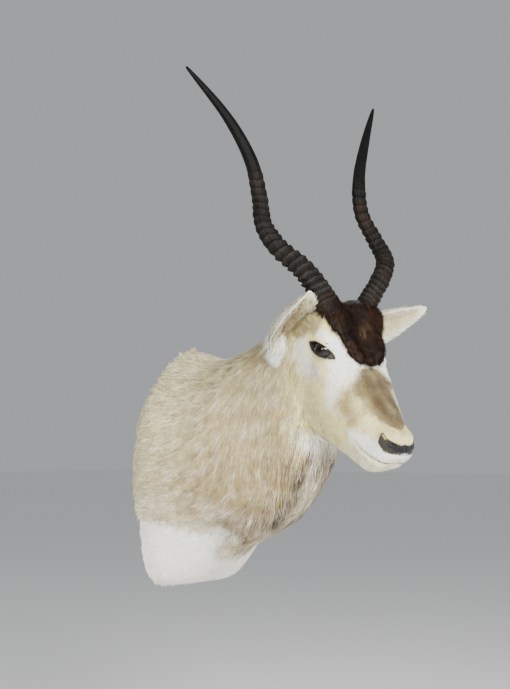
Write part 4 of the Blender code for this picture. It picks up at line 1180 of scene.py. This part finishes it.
# %% [markdown]
# ## How the hair grows
# Blender's own hair can't be exported, so each hair is a ribbon of a few triangles, wide at the root
# and pointed at the tip. Hairs grow in locks. A lock has a root on the skin, its hairs start round that
# root and their tips draw together. A hair isn't straight: it follows the skin. So it is walked over
# the skin's own grid, from its root in the direction of its flow, and lifted a little on the way.
#
# The ribbons take the skin's normal, mixed with their own, so that light falls on the coat as one
# soft body.


# %% Read a grid anywhere
def read_grid(values, row, column):
    """Values between grid points: the mean of the four neighbours, each by its share of nearness."""
    rows, columns = values.shape[:2]
    row = np.clip(row, 0.0, rows - 1.001)
    low, left = row.astype(int), np.floor(column).astype(int)
    t, s = (row - low)[..., None], (column - left)[..., None]
    left = left % columns
    right = (left + 1) % columns
    near = values[low, left] * (1.0 - s) + values[low, right] * s
    far = values[low + 1, left] * (1.0 - s) + values[low + 1, right] * s
    return near * (1.0 - t) + far * t


def scatter(grid, density, count, dice):
    """Random grid places, each cell as likely as its area times its density."""
    along, around = grid["slopes"]
    area = np.linalg.norm(np.cross(along, around), axis=-1) * density
    total = np.cumsum(area.ravel())
    cell = np.searchsorted(total, dice.uniform(0.0, total[-1], count))
    row, column = np.divmod(cell, area.shape[1])
    return row + dice.uniform(-0.5, 0.5, count), column + dice.uniform(-0.5, 0.5, count)


def steps_for(grid, row, column, way):
    """Rows and columns to walk for a vector along the skin, by least squares on the two slopes."""
    along = read_grid(grid["slopes"][0], row, column)
    around = read_grid(grid["slopes"][1], row, column)
    aa, bb = np.sum(along * along, axis=-1), np.sum(around * around, axis=-1)
    ab = np.sum(along * around, axis=-1)
    wa, wb = np.sum(way * along, axis=-1), np.sum(way * around, axis=-1)
    below = np.maximum(aa * bb - ab * ab, 1e-16)
    return (wa * bb - wb * ab) / below, (wb * aa - wa * ab) / below


# %% Ribbons from paths
def ribbons(name, paths, normals, widths, colours):
    """One mesh of ribbons along many paths, with a UV cell for each ribbon.

    A path of n points gives n - 1 pairs of edge points and one tip, so 2 n - 3 triangles. The edge
    points stand half a width to either side, across the path and along the skin.
    """
    count, steps = paths.shape[:2]
    ahead = unit(np.gradient(paths, axis=1))
    across = unit(np.cross(normals, ahead))
    half = 0.5 * widths[..., None] * across
    left, right = paths[:, :-1] - half[:, :-1], paths[:, :-1] + half[:, :-1]
    edges = np.stack([left, right], axis=2).reshape(count, -1, 3)
    points = np.concatenate([edges, paths[:, -1:]], axis=1)
    each = points.shape[1]
    pattern = [(2 * k, 2 * k + 1, 2 * k + 3) for k in range(steps - 2)]
    pattern += [(2 * k, 2 * k + 3, 2 * k + 2) for k in range(steps - 2)]
    pattern += [(2 * steps - 4, 2 * steps - 3, 2 * steps - 2)]
    pattern = np.array(pattern)
    faces = (pattern[None] + (np.arange(count) * each)[:, None, None]).reshape(-1, 3)
    a, b, c = (points.reshape(-1, 3)[faces[:, k]] for k in range(3))
    skin_normal = np.repeat(normals[:, :1].reshape(-1, 3), len(pattern), axis=0)
    if np.sum(np.cross(b - a, c - a) * skin_normal) < 0.0:
        faces, pattern = faces[:, ::-1], pattern[:, ::-1]
    side = int(math.ceil(math.sqrt(count)))
    cell = np.stack(np.divmod(np.arange(count), side)[::-1], axis=1)
    inner_u = np.array([0.2, 0.8] * (steps - 1) + [0.5])
    inner_v = np.array([v for k in range(steps - 1) for v in (0.1 + 0.8 * k / (steps - 1),) * 2] + [0.9])
    uv = (cell[:, None, :] + np.stack([inner_u, inner_v], axis=1)[None]) / side
    corner_uv = uv.reshape(-1, 2)[faces.ravel()]
    mesh = make_mesh(name, points.reshape(-1, 3), [faces], corner_uv)
    spread = np.concatenate([np.repeat(colours[:, :-1], 2, axis=1), colours[:, -1:]], axis=1)
    set_colours(mesh, "coat", spread.reshape(-1, 3))
    own = unit(np.cross(ahead, across))
    own = np.where(np.sum(own * normals, axis=-1, keepdims=True) < 0.0, -own, own)
    soft = unit(0.75 * normals + 0.25 * own)
    tilt = 0.22 * across
    edge_normals = np.stack([soft[:, :-1] - tilt[:, :-1], soft[:, :-1] + tilt[:, :-1]], axis=2)
    vertex_normals = np.concatenate([edge_normals.reshape(count, -1, 3), soft[:, -1:]], axis=1)
    mesh.normals_split_custom_set_from_vertices(unit(vertex_normals).reshape(-1, 3).tolist())
    return mesh


# %% Walk over the skin
WALL_CLEARANCE = 0.0012
LONGEST_ROW_STEP = 4.0
EDGE_OVERHANG = 0.48
ROOT_DEPTH = 0.0006
WARMTH_VARIES = 0.030


def walk(grid, row, column, way, length, steps):
    """Rows and columns of paths that drape over the skin from their roots.

    At each step the way is laid flat on the skin there, made one long and multiplied by the step's
    length. A path that reaches the wall edge stays on it, and the length that it had left over is
    returned as its excess.
    """
    rows, columns, excess = [row], [column], [np.zeros_like(row)]
    row_size = np.linalg.norm(grid["slopes"][0][0], axis=-1).mean()
    for _ in range(steps):
        normal = unit(read_grid(grid["normals"], rows[-1], columns[-1]))
        flat = way - np.sum(way * normal, axis=-1, keepdims=True) * normal
        ahead, round_it = steps_for(grid, rows[-1], columns[-1], unit(flat) * (length / steps)[..., None])
        new_row = rows[-1] + np.clip(ahead, -LONGEST_ROW_STEP, LONGEST_ROW_STEP)
        excess.append(excess[-1] + np.maximum(-new_row, 0.0) * row_size)
        rows.append(np.clip(new_row, 0.0, grid["points"].shape[0] - 1.001))
        columns.append(columns[-1] + round_it)
    return np.stack(rows, -1), np.stack(columns, -1), np.stack(excess, -1)


# %% Grow a coat
def grow_coat(name, grid, colour_at, flow_at, looks, seed):
    """Hair over a grid.

    colour_at gives the colours from points, rows and columns, and flow_at the way that hair lies from
    points and normals; some need only one of these.

    looks holds: density (per grid point), locks, hairs per lock, spread (how far from the lock's
    root the hairs start), length (per grid point), width, lift, gather (how far the tips draw
    together), stray (how far the flow wanders, in radians), points per hair, shade (how much
    darker the root is), lock tone and hair tone (how much the brightness varies), and free (how far
    a hair leaves the skin for a straight line).
    """
    dice = np.random.default_rng(seed)
    locks, hairs, count = looks["locks"], looks["hairs"], looks["locks"] * looks["hairs"]
    row, column = scatter(grid, looks["density"], locks, dice)
    centre = read_grid(grid["points"], row, column)
    centre_normal = unit(read_grid(grid["normals"], row, column))
    length = read_grid(looks["length"][..., None], row, column)[..., 0]
    length = length * dice.uniform(0.75, 1.2, locks)
    flow = flow_at(centre, centre_normal)
    flow = unit(flow - np.sum(flow * centre_normal, axis=-1, keepdims=True) * centre_normal)
    side = np.cross(centre_normal, flow)
    turn = dice.normal(0.0, looks["stray"], locks)[:, None]
    flow = flow * np.cos(turn) + side * np.sin(turn)
    offset = dice.normal(0.0, looks["spread"], (locks, hairs, 2))
    start = offset[..., :1] * flow[:, None] + offset[..., 1:] * side[:, None]
    lock_row, lock_column = (np.repeat(value[:, None], hairs, 1) for value in (row, column))
    drow, dcolumn = steps_for(grid, lock_row, lock_column, start)
    drow = np.clip(drow, -LONGEST_ROW_STEP, LONGEST_ROW_STEP)
    own_length = length[:, None] * dice.uniform(0.72, 1.12, (locks, hairs))
    stray = dice.normal(0.0, 0.5 * looks["stray"], (locks, hairs, 1))
    way = flow[:, None] * np.cos(stray) + side[:, None] * np.sin(stray)
    way = way - start * looks["gather"] / own_length[..., None]
    path_row, path_column, excess = walk(grid, row[:, None] + drow, column[:, None] + dcolumn, way,
                                         own_length, looks["points"] - 1)
    t = np.linspace(0.0, 1.0, looks["points"])
    paths = read_grid(grid["points"], path_row, path_column)
    normals = unit(read_grid(grid["normals"], path_row, path_column))
    paths = paths + unit(paths * (1.0, 0.0, 1.0)) * (EDGE_OVERHANG * excess)[..., None]
    straight = paths[..., :1, :] + (unit(way) * own_length[..., None])[..., None, :] * t[:, None]
    paths = paths + (straight - paths) * (looks["free"] * t)[:, None]
    lift = looks["lift"] * dice.uniform(0.35, 1.5, (locks, 1, 1)) * dice.uniform(0.6, 1.4, (locks, hairs, 1))
    raised = lift * np.sin(0.5 * math.pi * np.minimum(1.0, 1.3 * t)) - ROOT_DEPTH
    paths = paths + normals * raised[..., None]
    if grid.get("at wall"):
        paths[..., 1] = np.minimum(paths[..., 1], -WALL_CLEARANCE)
    paint_row = 0.35 * path_row + 0.65 * path_row[..., :1]
    paint_column = 0.35 * path_column + 0.65 * path_column[..., :1]
    tints = colour_at(read_grid(grid["points"], paint_row, paint_column), paint_row, paint_column)
    bright = 1.0 + dice.normal(0.0, looks["lock tone"], (locks, 1, 1, 1))
    bright = bright * (1.0 + dice.normal(0.0, looks["hair tone"], (locks, hairs, 1, 1)))
    warm = dice.normal(0.0, WARMTH_VARIES, (locks, hairs, 1, 1)) * np.array([1.0, 0.0, -1.3])
    # Painted shade: each hair is painted darker towards its root, by the looks' shade.
    gradient = (1.0 - looks["shade"] * (1.0 - t) ** 1.5)[:, None]
    tints = np.clip(tints * np.clip(bright, 0.35, 1.6) * gradient * (1.0 + warm), 0.001, 0.97)
    widths = looks["width"] * dice.uniform(0.7, 1.3, (locks, hairs, 1)) * (1.0 - 0.35 * t)
    mesh = ribbons(name, paths.reshape(count, -1, 3), normals.reshape(count, -1, 3),
                   widths.reshape(count, -1), tints.reshape(count, -1, 3))
    print(name, "triangles:", len(mesh.polygons))
    return mesh


def grow_piece(name, grid, colour_at, flow_at, looks, seed, material=hair_material):
    """Grow hair over a grid and show it as a piece."""
    add_piece(grow_coat(name, grid, colour_at, flow_at, looks, seed), material)


def hair_grid(points, middle):
    """What hair needs of a surface: its points, its normals and its slopes."""
    return {"points": points, "normals": grid_normals(points, middle), "slopes": slopes(points)}


# %% [markdown]
# ## Which way the hair lies
# On the neck the hair hangs down and a little back. Towards the wall it lies back more and more, until
# at the wall edge it points at the wall, and above the hem it sweeps back almost level. On the head it
# lies down and back, and down the bridge to the nose.


# %% Flow and colours for hair
def body_flow(points, normals):
    """Down, plus a share towards the wall that grows near the wall and near the hem."""
    out, up = -points[..., 1], points[..., 2]
    to_wall = 0.30 + 2.6 * smoothstep(0.22, 0.02, out) ** 1.4
    to_wall = to_wall + 2.0 * smoothstep(0.00, -0.085, up) * smoothstep(0.27, 0.17, out)
    top = smoothstep(0.4, 0.95, normals[..., 2])
    to_wall = to_wall + 1.5 * top
    sway = 0.25 * ripple(points, 0.12, 61)
    return np.stack([sway, to_wall, -np.ones_like(out)], axis=-1)


def head_flow(points, normals):
    """Down and back along the head."""
    sway = 0.15 * ripple(points, 0.06, 62)
    return -UP - 0.55 * HEAD_FORWARD + sway[..., None] * HEAD_LEFT


def coat_reader(grid):
    """A function that reads this grid's places and gives the coat's colours there."""
    def colour_at(points, row, column):
        place = np.interp(row, np.arange(len(grid["places"])), grid["places"])
        angle = column * 2.0 * math.pi / grid["points"].shape[1]
        angle = (angle + math.pi) % (2.0 * math.pi) - math.pi
        return head_colours(points, body_colours(points, place, angle))
    return colour_at


for grid in (body, head, *ears.values()):
    grid["slopes"] = slopes(grid["points"])
body["at wall"] = True
print("grids ready for hair")

# %% The long coat of neck and shoulders
body_up = body["points"][..., 2]
body_out = -body["points"][..., 1]
front_angle = math.pi - np.abs(body["angle"])
hem_line = hem_height(body_out) - FRONT_HEM_DROP * (1.0 - smoothstep(0.15, 0.55, front_angle))
above_hem = smoothstep(hem_line - 0.004, hem_line + 0.010, body_up)
body_length = 0.026 + 0.016 * smoothstep(0.06, 0.18, body_out) - 0.006 * smoothstep(0.25, 0.31, body_out)
body_length = body_length + 0.010 * smoothstep(0.0, -0.07, body_up)
body_length = body_length - 0.010 * smoothstep(0.12, 0.22, body_up)
front_bare = 1.0 - smoothstep(8.3, 8.7, body["place"])
LONG_COAT = {"hairs": 12, "spread": 0.0046, "width": 0.00120, "lift": 0.0030,
             "gather": 0.50, "stray": 0.12, "points": 4, "shade": 0.26, "lock tone": 0.100,
             "hair tone": 0.16, "free": 0.08}
for word, side, locks, seed in (("right", -1.0, 3250, 71), ("left", 1.0, 3000, 72)):
    on_side = (np.sin(body["angle"]) * side >= 0.0)
    looks = dict(LONG_COAT, density=above_hem * front_bare * on_side, length=body_length, locks=locks)
    grow_piece("coat_" + word, body, coat_reader(body), body_flow, looks, seed)

# %% Mane
on_mane = (smoothstep(3.4, 3.8, body["place"]) * (1.0 - smoothstep(7.4, 8.0, body["place"]))
           * (1.0 - smoothstep(0.50, 0.80, front_angle)))


def mane_flow(points, normals):
    """Straight down, drawn a little to the wall."""
    return np.stack([0.1 * ripple(points, 0.05, 63), np.full(points.shape[:-1], 0.22),
                     -np.ones(points.shape[:-1])], axis=-1)


MANE = {"density": on_mane, "length": np.full(body_up.shape, 0.050), "locks": 900, "hairs": 13,
        "spread": 0.0050, "width": 0.00125, "lift": 0.0055, "gather": 0.60, "stray": 0.12, "points": 5,
        "shade": 0.25, "lock tone": 0.18, "hair tone": 0.22, "free": 0.55}
grow_piece("mane", body, coat_reader(body), mane_flow, MANE, 73)

# %% Hem and lobe
at_hem = np.exp(-((body_up - hem_line - 0.006) / 0.009) ** 2) * smoothstep(0.004, 0.02, body_out)
FRINGE = {"density": at_hem, "length": 0.024 + 0.024 * smoothstep(0.10, 0.20, body_out), "locks": 560,
          "hairs": 12, "spread": 0.0060, "width": 0.0011, "lift": 0.0040, "gather": 0.35, "stray": 0.25,
          "points": 4, "shade": 0.05, "lock tone": 0.09, "hair tone": 0.14, "free": 0.20}
grow_piece("hem_fringe", body, coat_reader(body), body_flow, FRINGE, 79)

below_hem = smoothstep(hem_line + 0.004, hem_line - 0.010, body_up)
LOBE = {"density": below_hem, "length": np.full(body_up.shape, 0.007), "locks": 2600, "hairs": 9,
        "spread": 0.0035, "width": 0.0010, "lift": 0.0007, "gather": 0.2, "stray": 0.10, "points": 3,
        "shade": 0.10, "lock tone": 0.02, "hair tone": 0.04, "free": 0.0}
grow_piece("lobe_coat", body, coat_reader(body), body_flow, LOBE, 74)

# %% Short hair of the head
HAIR_HANGS = 0.004
hangs_to = head["points"] - HAIR_HANGS * UP
nearest_eye = np.minimum(eye_distance(head["points"]), eye_distance(hangs_to))
bare = np.maximum(brush(head["points"], NOSE_LEATHER, 0.15), brush(hangs_to, NOSE_LEATHER, 0.15))
bare = np.maximum(bare, smoothstep(0.0042, 0.0030, nearest_eye))
bare = np.maximum(bare, brush(head["points"], MOUTH_LINE, 0.5))
head_forward = in_head(head["points"])[1]
head_length = 0.0130 - 0.0060 * smoothstep(0.03, 0.12, head_forward)
head_length = head_length - 0.0025 * smoothstep(0.16, 0.21, head_forward)
head_length = head_length * (0.22 + 0.78 * smoothstep(0.004, 0.014, nearest_eye))
near_leather = stroke(head["points"], NOSE_LEATHER)
head_length = head_length * (0.30 + 0.70 * smoothstep(1.0, 2.2, near_leather))
HEAD_COAT = {"density": 1.0 - bare, "length": head_length, "locks": 8000, "hairs": 8, "spread": 0.0024,
             "width": 0.00080, "lift": 0.0010, "gather": 0.35, "stray": 0.18, "points": 3, "shade": 0.25,
             "lock tone": 0.085, "hair tone": 0.13, "free": 0.1}
grow_piece("head_coat", head, coat_reader(head), head_flow, HEAD_COAT, 75)

# %% Forehead tuft
TUFT_HANGS = 0.012
tuft_root = tuft_distance(head["points"] - TUFT_HANGS * UP)
tuft_hair = coat_material("tuft_hair", 0.55, 140.0, 0.80, 1.15, 0.0)
tuft_hair.node_tree.nodes["Principled BSDF"].inputs["Sheen Weight"].default_value = 0.0


def tuft_flow(points, normals):
    """Down, opening to both sides, with lazy curls."""
    left = in_head(points)[0]
    sway = 9.0 * (left - TUFT_MIDDLE) + 0.25 * ripple(points, 0.045, 64)
    return -UP + sway[..., None] * HEAD_LEFT + 0.2 * HEAD_FORWARD


def tuft_colours(points, row, column):
    """Chestnut, redder in patches, with a tan wisp near the middle."""
    colours = plain(points, "chestnut dark")
    colours = paint(colours, "chestnut", 0.5 + 0.5 * ripple(points, 0.035, 33))
    wisp = brush(points, [(0.012, 0.115, 0.250, 0.008), (0.004, 0.126, 0.236, 0.005)], 0.8, mirrored=False)
    return paint(colours, "olive", 0.5 * wisp)


TUFT = {"density": smoothstep(0.0, 0.004, tuft_root) * smoothstep(0.300, 0.288, head["points"][..., 2]),
        "length": 0.014 + 0.016 * smoothstep(0.0, 0.02, tuft_root), "locks": 640,
        "hairs": 16, "spread": 0.0042, "width": 0.00105, "lift": 0.0050, "gather": 0.45, "stray": 0.14,
        "points": 5, "shade": 0.40, "lock tone": 0.26, "hair tone": 0.34, "free": 0.1}
grow_piece("forehead_tuft", head, tuft_colours, tuft_flow, TUFT, 76, tuft_hair)

# %% Ear hair
EAR_HAIR = {"locks": 1500, "hairs": 7, "spread": 0.0022, "width": 0.0008, "lift": 0.0032, "gather": 0.3,
            "stray": 0.20, "points": 3, "shade": 0.15, "lock tone": 0.06, "hair tone": 0.09, "free": 0.5}
EAR_PUFF = {"locks": 520, "hairs": 12, "spread": 0.0045, "width": 0.0009, "lift": 0.0065, "gather": 0.35,
            "stray": 0.30, "points": 4, "shade": 0.12, "lock tone": 0.11, "hair tone": 0.15, "free": 0.60}
PUFF_MIDDLE = {"right": (-0.068, -0.010, 0.220), "left": (0.068, 0.012, 0.236)}
PUFF_RADII = (0.016, 0.021, 0.029)
PUFF_HAIR = 0.022
TEMPLE_HAIR = 0.016


def ear_reader(grid):
    """A function that reads the ear's colours at places of its grid."""
    colours = ear_colours(grid)
    return lambda points, row, column: read_grid(colours, row, column)


def tipward_flow(grid):
    """A function that gives the way to the ear's tip, swaying a little."""
    return lambda points, normals: grid["axis"] + 0.2 * ripple(points, 0.02, 65)[..., None] * UP


for seed, (side, grid) in enumerate(ears.items()):
    rim = smoothstep(0.7, 0.95, np.abs(grid["share"]))
    on_ear = smoothstep(-0.05, 0.05, grid["place"]) * smoothstep(0.93, 0.80, grid["place"])
    looks = dict(EAR_HAIR, density=on_ear, length=0.011 + 0.006 * rim)
    grow_piece("ear_" + side + "_hair", grid, ear_reader(grid), tipward_flow(grid), looks, 77 + seed)

# %% [markdown]
# Behind each ear's root the hair stands out in a soft white puff. It is an egg of skin, half sunk in
# the neck, with longer hair on it that falls down and back. In front of the root, olive hair rises
# from the temple and covers the ear's front rim.


# %% Puffs behind the ears
def egg_grid(middle, radii):
    """An egg in the head's frame: each radius times the sines and cosines of two angles."""
    t, angle = np.meshgrid(np.linspace(0.0, math.pi, 34)[1:-1],
                           np.linspace(0.0, 2.0 * math.pi, 48, endpoint=False), indexing="ij")
    local = np.stack([radii[0] * np.sin(t) * np.cos(angle), radii[1] * np.sin(t) * np.sin(angle),
                      radii[2] * np.cos(t)], axis=-1)
    points = on_head(local + np.array(middle))
    pole = np.array((0.0, 0.0, radii[2]))
    return (hair_grid(points, points.mean(axis=(0, 1), keepdims=True)), on_head(middle + pole),
            on_head(middle - pole))


def puff_flow(points, normals):
    """Down and back, away from the ear's root."""
    return -UP - 0.6 * HEAD_FORWARD


def puff_colours(points, row, column):
    """White, a little creamier in patches."""
    colours = plain(points, "white")
    return paint(colours, "warm cream", 0.4 + 0.4 * ripple(points, 0.02, 34))


for seed, (side, middle) in enumerate(PUFF_MIDDLE.items()):
    egg, top, bottom = egg_grid(middle, PUFF_RADII)
    egg_mesh = closed_sheet("ear_" + side + "_puff", egg["points"], top, bottom)
    set_colours(egg_mesh, "coat", np.ones((egg["points"][..., 0].size + 2, 3)) * COAT["warm cream"])
    add_piece(egg_mesh, skin_material)
    everywhere = np.ones(egg["points"].shape[:2])
    looks = dict(EAR_PUFF, density=everywhere, length=PUFF_HAIR * everywhere)
    grow_piece("ear_" + side + "_puff_hair", egg, puff_colours, puff_flow, looks, 87 + seed)

# %% Hair in front of the ears
TEMPLE = [(0.0660, 0.0560, 0.2480, 0.0110), (0.0600, 0.0740, 0.2620, 0.0110)]


def temple_flow(points, normals):
    """Up and back, over the front rim of the ear."""
    side = np.sign(in_head(points)[0])[..., None]
    return 0.8 * UP - 0.5 * HEAD_FORWARD + 0.5 * side * HEAD_LEFT


def temple_colours(points, row, column):
    """Olive and cream hairs side by side."""
    colours = plain(points, "cheek cream")
    return paint(colours, "olive", 0.75 + 0.25 * ripple(points, 0.010, 35))


looks = dict(EAR_PUFF, density=brush(head["points"], TEMPLE, 0.4), locks=300, free=0.4, lift=0.0040,
             length=np.full(head_length.shape, TEMPLE_HAIR))
grow_piece("temple_hair", head, temple_colours, temple_flow, looks, 91)

# %% [markdown]
# The skin doesn't stop in a line at a horn: short hair climbs a finger's width up its root, dark brown in
# front, partly as painted shade where the horn meets the head, and greyer outside. It grows on the horn's
# own grid, read at every fifth row, towards the tip.

# %% Hair at the horns' roots
COLLAR_ROWS = 110
COLLAR_EVERY = 5
COLLAR_HAIR = 0.013
COLLAR = {"locks": 230, "hairs": 8, "spread": 0.0030, "width": 0.0008, "lift": 0.0012, "gather": 0.3,
          "stray": 0.25, "points": 4, "shade": 0.25, "lock tone": 0.10, "hair tone": 0.15, "free": 0.05}


def collar_colours(points, row, column):
    """Dark chestnut, partly painted shade where the horn meets the head, greyer on the outer side of the
    horn.
    """
    # Partly painted shade: the hair at the horn's root is dark chestnut.
    colours = plain(points, "chestnut dark")
    return paint(colours, "mane brown", 0.35 * smoothstep(0.046, 0.058, np.abs(in_head(points)[0])))


for side, word, seed in HORNS:
    points, _, _, place = (values[:COLLAR_ROWS:COLLAR_EVERY] for values in horn_grid(side, seed))
    root = hair_grid(points, points.mean(axis=1, keepdims=True))
    up_horn = unit(points[-1].mean(axis=0) - points[0].mean(axis=0))
    looks = dict(COLLAR, density=smoothstep(0.015, 0.030, place) * smoothstep(0.082, 0.060, place),
                 length=np.full(place.shape, COLLAR_HAIR))
    grow_piece("horn_" + word + "_root_hair", root, collar_colours,
               lambda points, normals: np.broadcast_to(up_horn, points.shape), looks, seed + 40, tuft_hair)

# %% [markdown]
# ## The back
# The board is birch plywood, and the hanger a zinc-plated plate with two screws. Their solids already
# have the right shape, so they only get materials: grain stretched along one axis, and mottled steel.


# %% Wood and steel
def plywood_material():
    """Birch: long pale grain, with darker layers across the board's thickness."""
    material, tree, shader = new_material("birch_plywood")
    place = tree.nodes.new("ShaderNodeTexCoord")
    stretch = tree.nodes.new("ShaderNodeMapping")
    stretch.inputs["Scale"].default_value = (42.0, 420.0, 5.0)
    grain = tree.nodes.new("ShaderNodeTexNoise")
    fill(grain, {"Scale": 1.0, "Detail": 6.0, "Distortion": 0.6})
    ramp = tree.nodes.new("ShaderNodeValToRGB")
    ramp.color_ramp.elements[0].position = 0.30
    ramp.color_ramp.elements[0].color = (0.42, 0.27, 0.14, 1.0)
    ramp.color_ramp.elements[1].position = 0.68
    ramp.color_ramp.elements[1].color = (0.66, 0.50, 0.31, 1.0)
    bump = tree.nodes.new("ShaderNodeBump")
    fill(bump, {"Strength": 0.25, "Distance": 0.0006})
    tree.links.new(place.outputs["Object"], stretch.inputs["Vector"])
    tree.links.new(stretch.outputs["Vector"], grain.inputs["Vector"])
    tree.links.new(grain.outputs["Fac"], ramp.inputs["Fac"])
    mottle = add_mottle(tree, ramp.outputs["Color"], 18.0, 0.90, 1.08)
    tree.links.new(mottle.outputs["Color"], shader.inputs["Base Color"])
    tree.links.new(grain.outputs["Fac"], bump.inputs["Height"])
    tree.links.new(bump.outputs["Normal"], shader.inputs["Normal"])
    shader.inputs["Roughness"].default_value = 0.68
    return material


def steel_material():
    """Zinc-plated steel: grey, mottled in colour and roughness, with small dull spots."""
    material, tree, shader = new_material("zinc_steel")
    mottle = add_mottle(tree, (0.58, 0.58, 0.56), 210.0, 0.82, 1.10)
    rough = tree.nodes.new("ShaderNodeMapRange")
    fill(rough, {"To Min": 0.25, "To Max": 0.50})
    tree.links.new(mottle.outputs["Height"], rough.inputs["Value"])
    tree.links.new(mottle.outputs["Color"], shader.inputs["Base Color"])
    tree.links.new(rough.outputs["Result"], shader.inputs["Roughness"])
    shader.inputs["Metallic"].default_value = 1.0
    return material


def dress_node(node, material):
    """Give a solid its material."""
    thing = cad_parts[node]
    thing.data.materials.clear()
    thing.data.materials.append(material)


zinc_steel = steel_material()
dress_node("back_board", plywood_material())
for node in ("hanger_plate", "hanger_screw_left", "hanger_screw_right"):
    dress_node(node, zinc_steel)

# %% [markdown]
# ## The studio
# The mount hangs free in front of a plain pale floor, so nothing but its own shape is in the picture.


# %% Floor
def make_floor():
    """A wide pale floor below the mount."""
    half = 0.5 * FLOOR_SIZE
    mesh = bpy.data.meshes.new("floor")
    corners = [(-half, -half, FLOOR_HEIGHT), (half, -half, FLOOR_HEIGHT), (half, half, FLOOR_HEIGHT),
               (-half, half, FLOOR_HEIGHT)]
    mesh.from_pydata(corners, [], [(0, 1, 2, 3)])
    material, _, shader = new_material("pale_floor")
    fill(shader, {"Base Color": (*FLOOR_COLOUR, 1.0), "Roughness": 0.9})
    mesh.materials.append(material)
    floor = bpy.data.objects.new("floor", mesh)
    bpy.context.scene.collection.objects.link(floor)


make_floor()
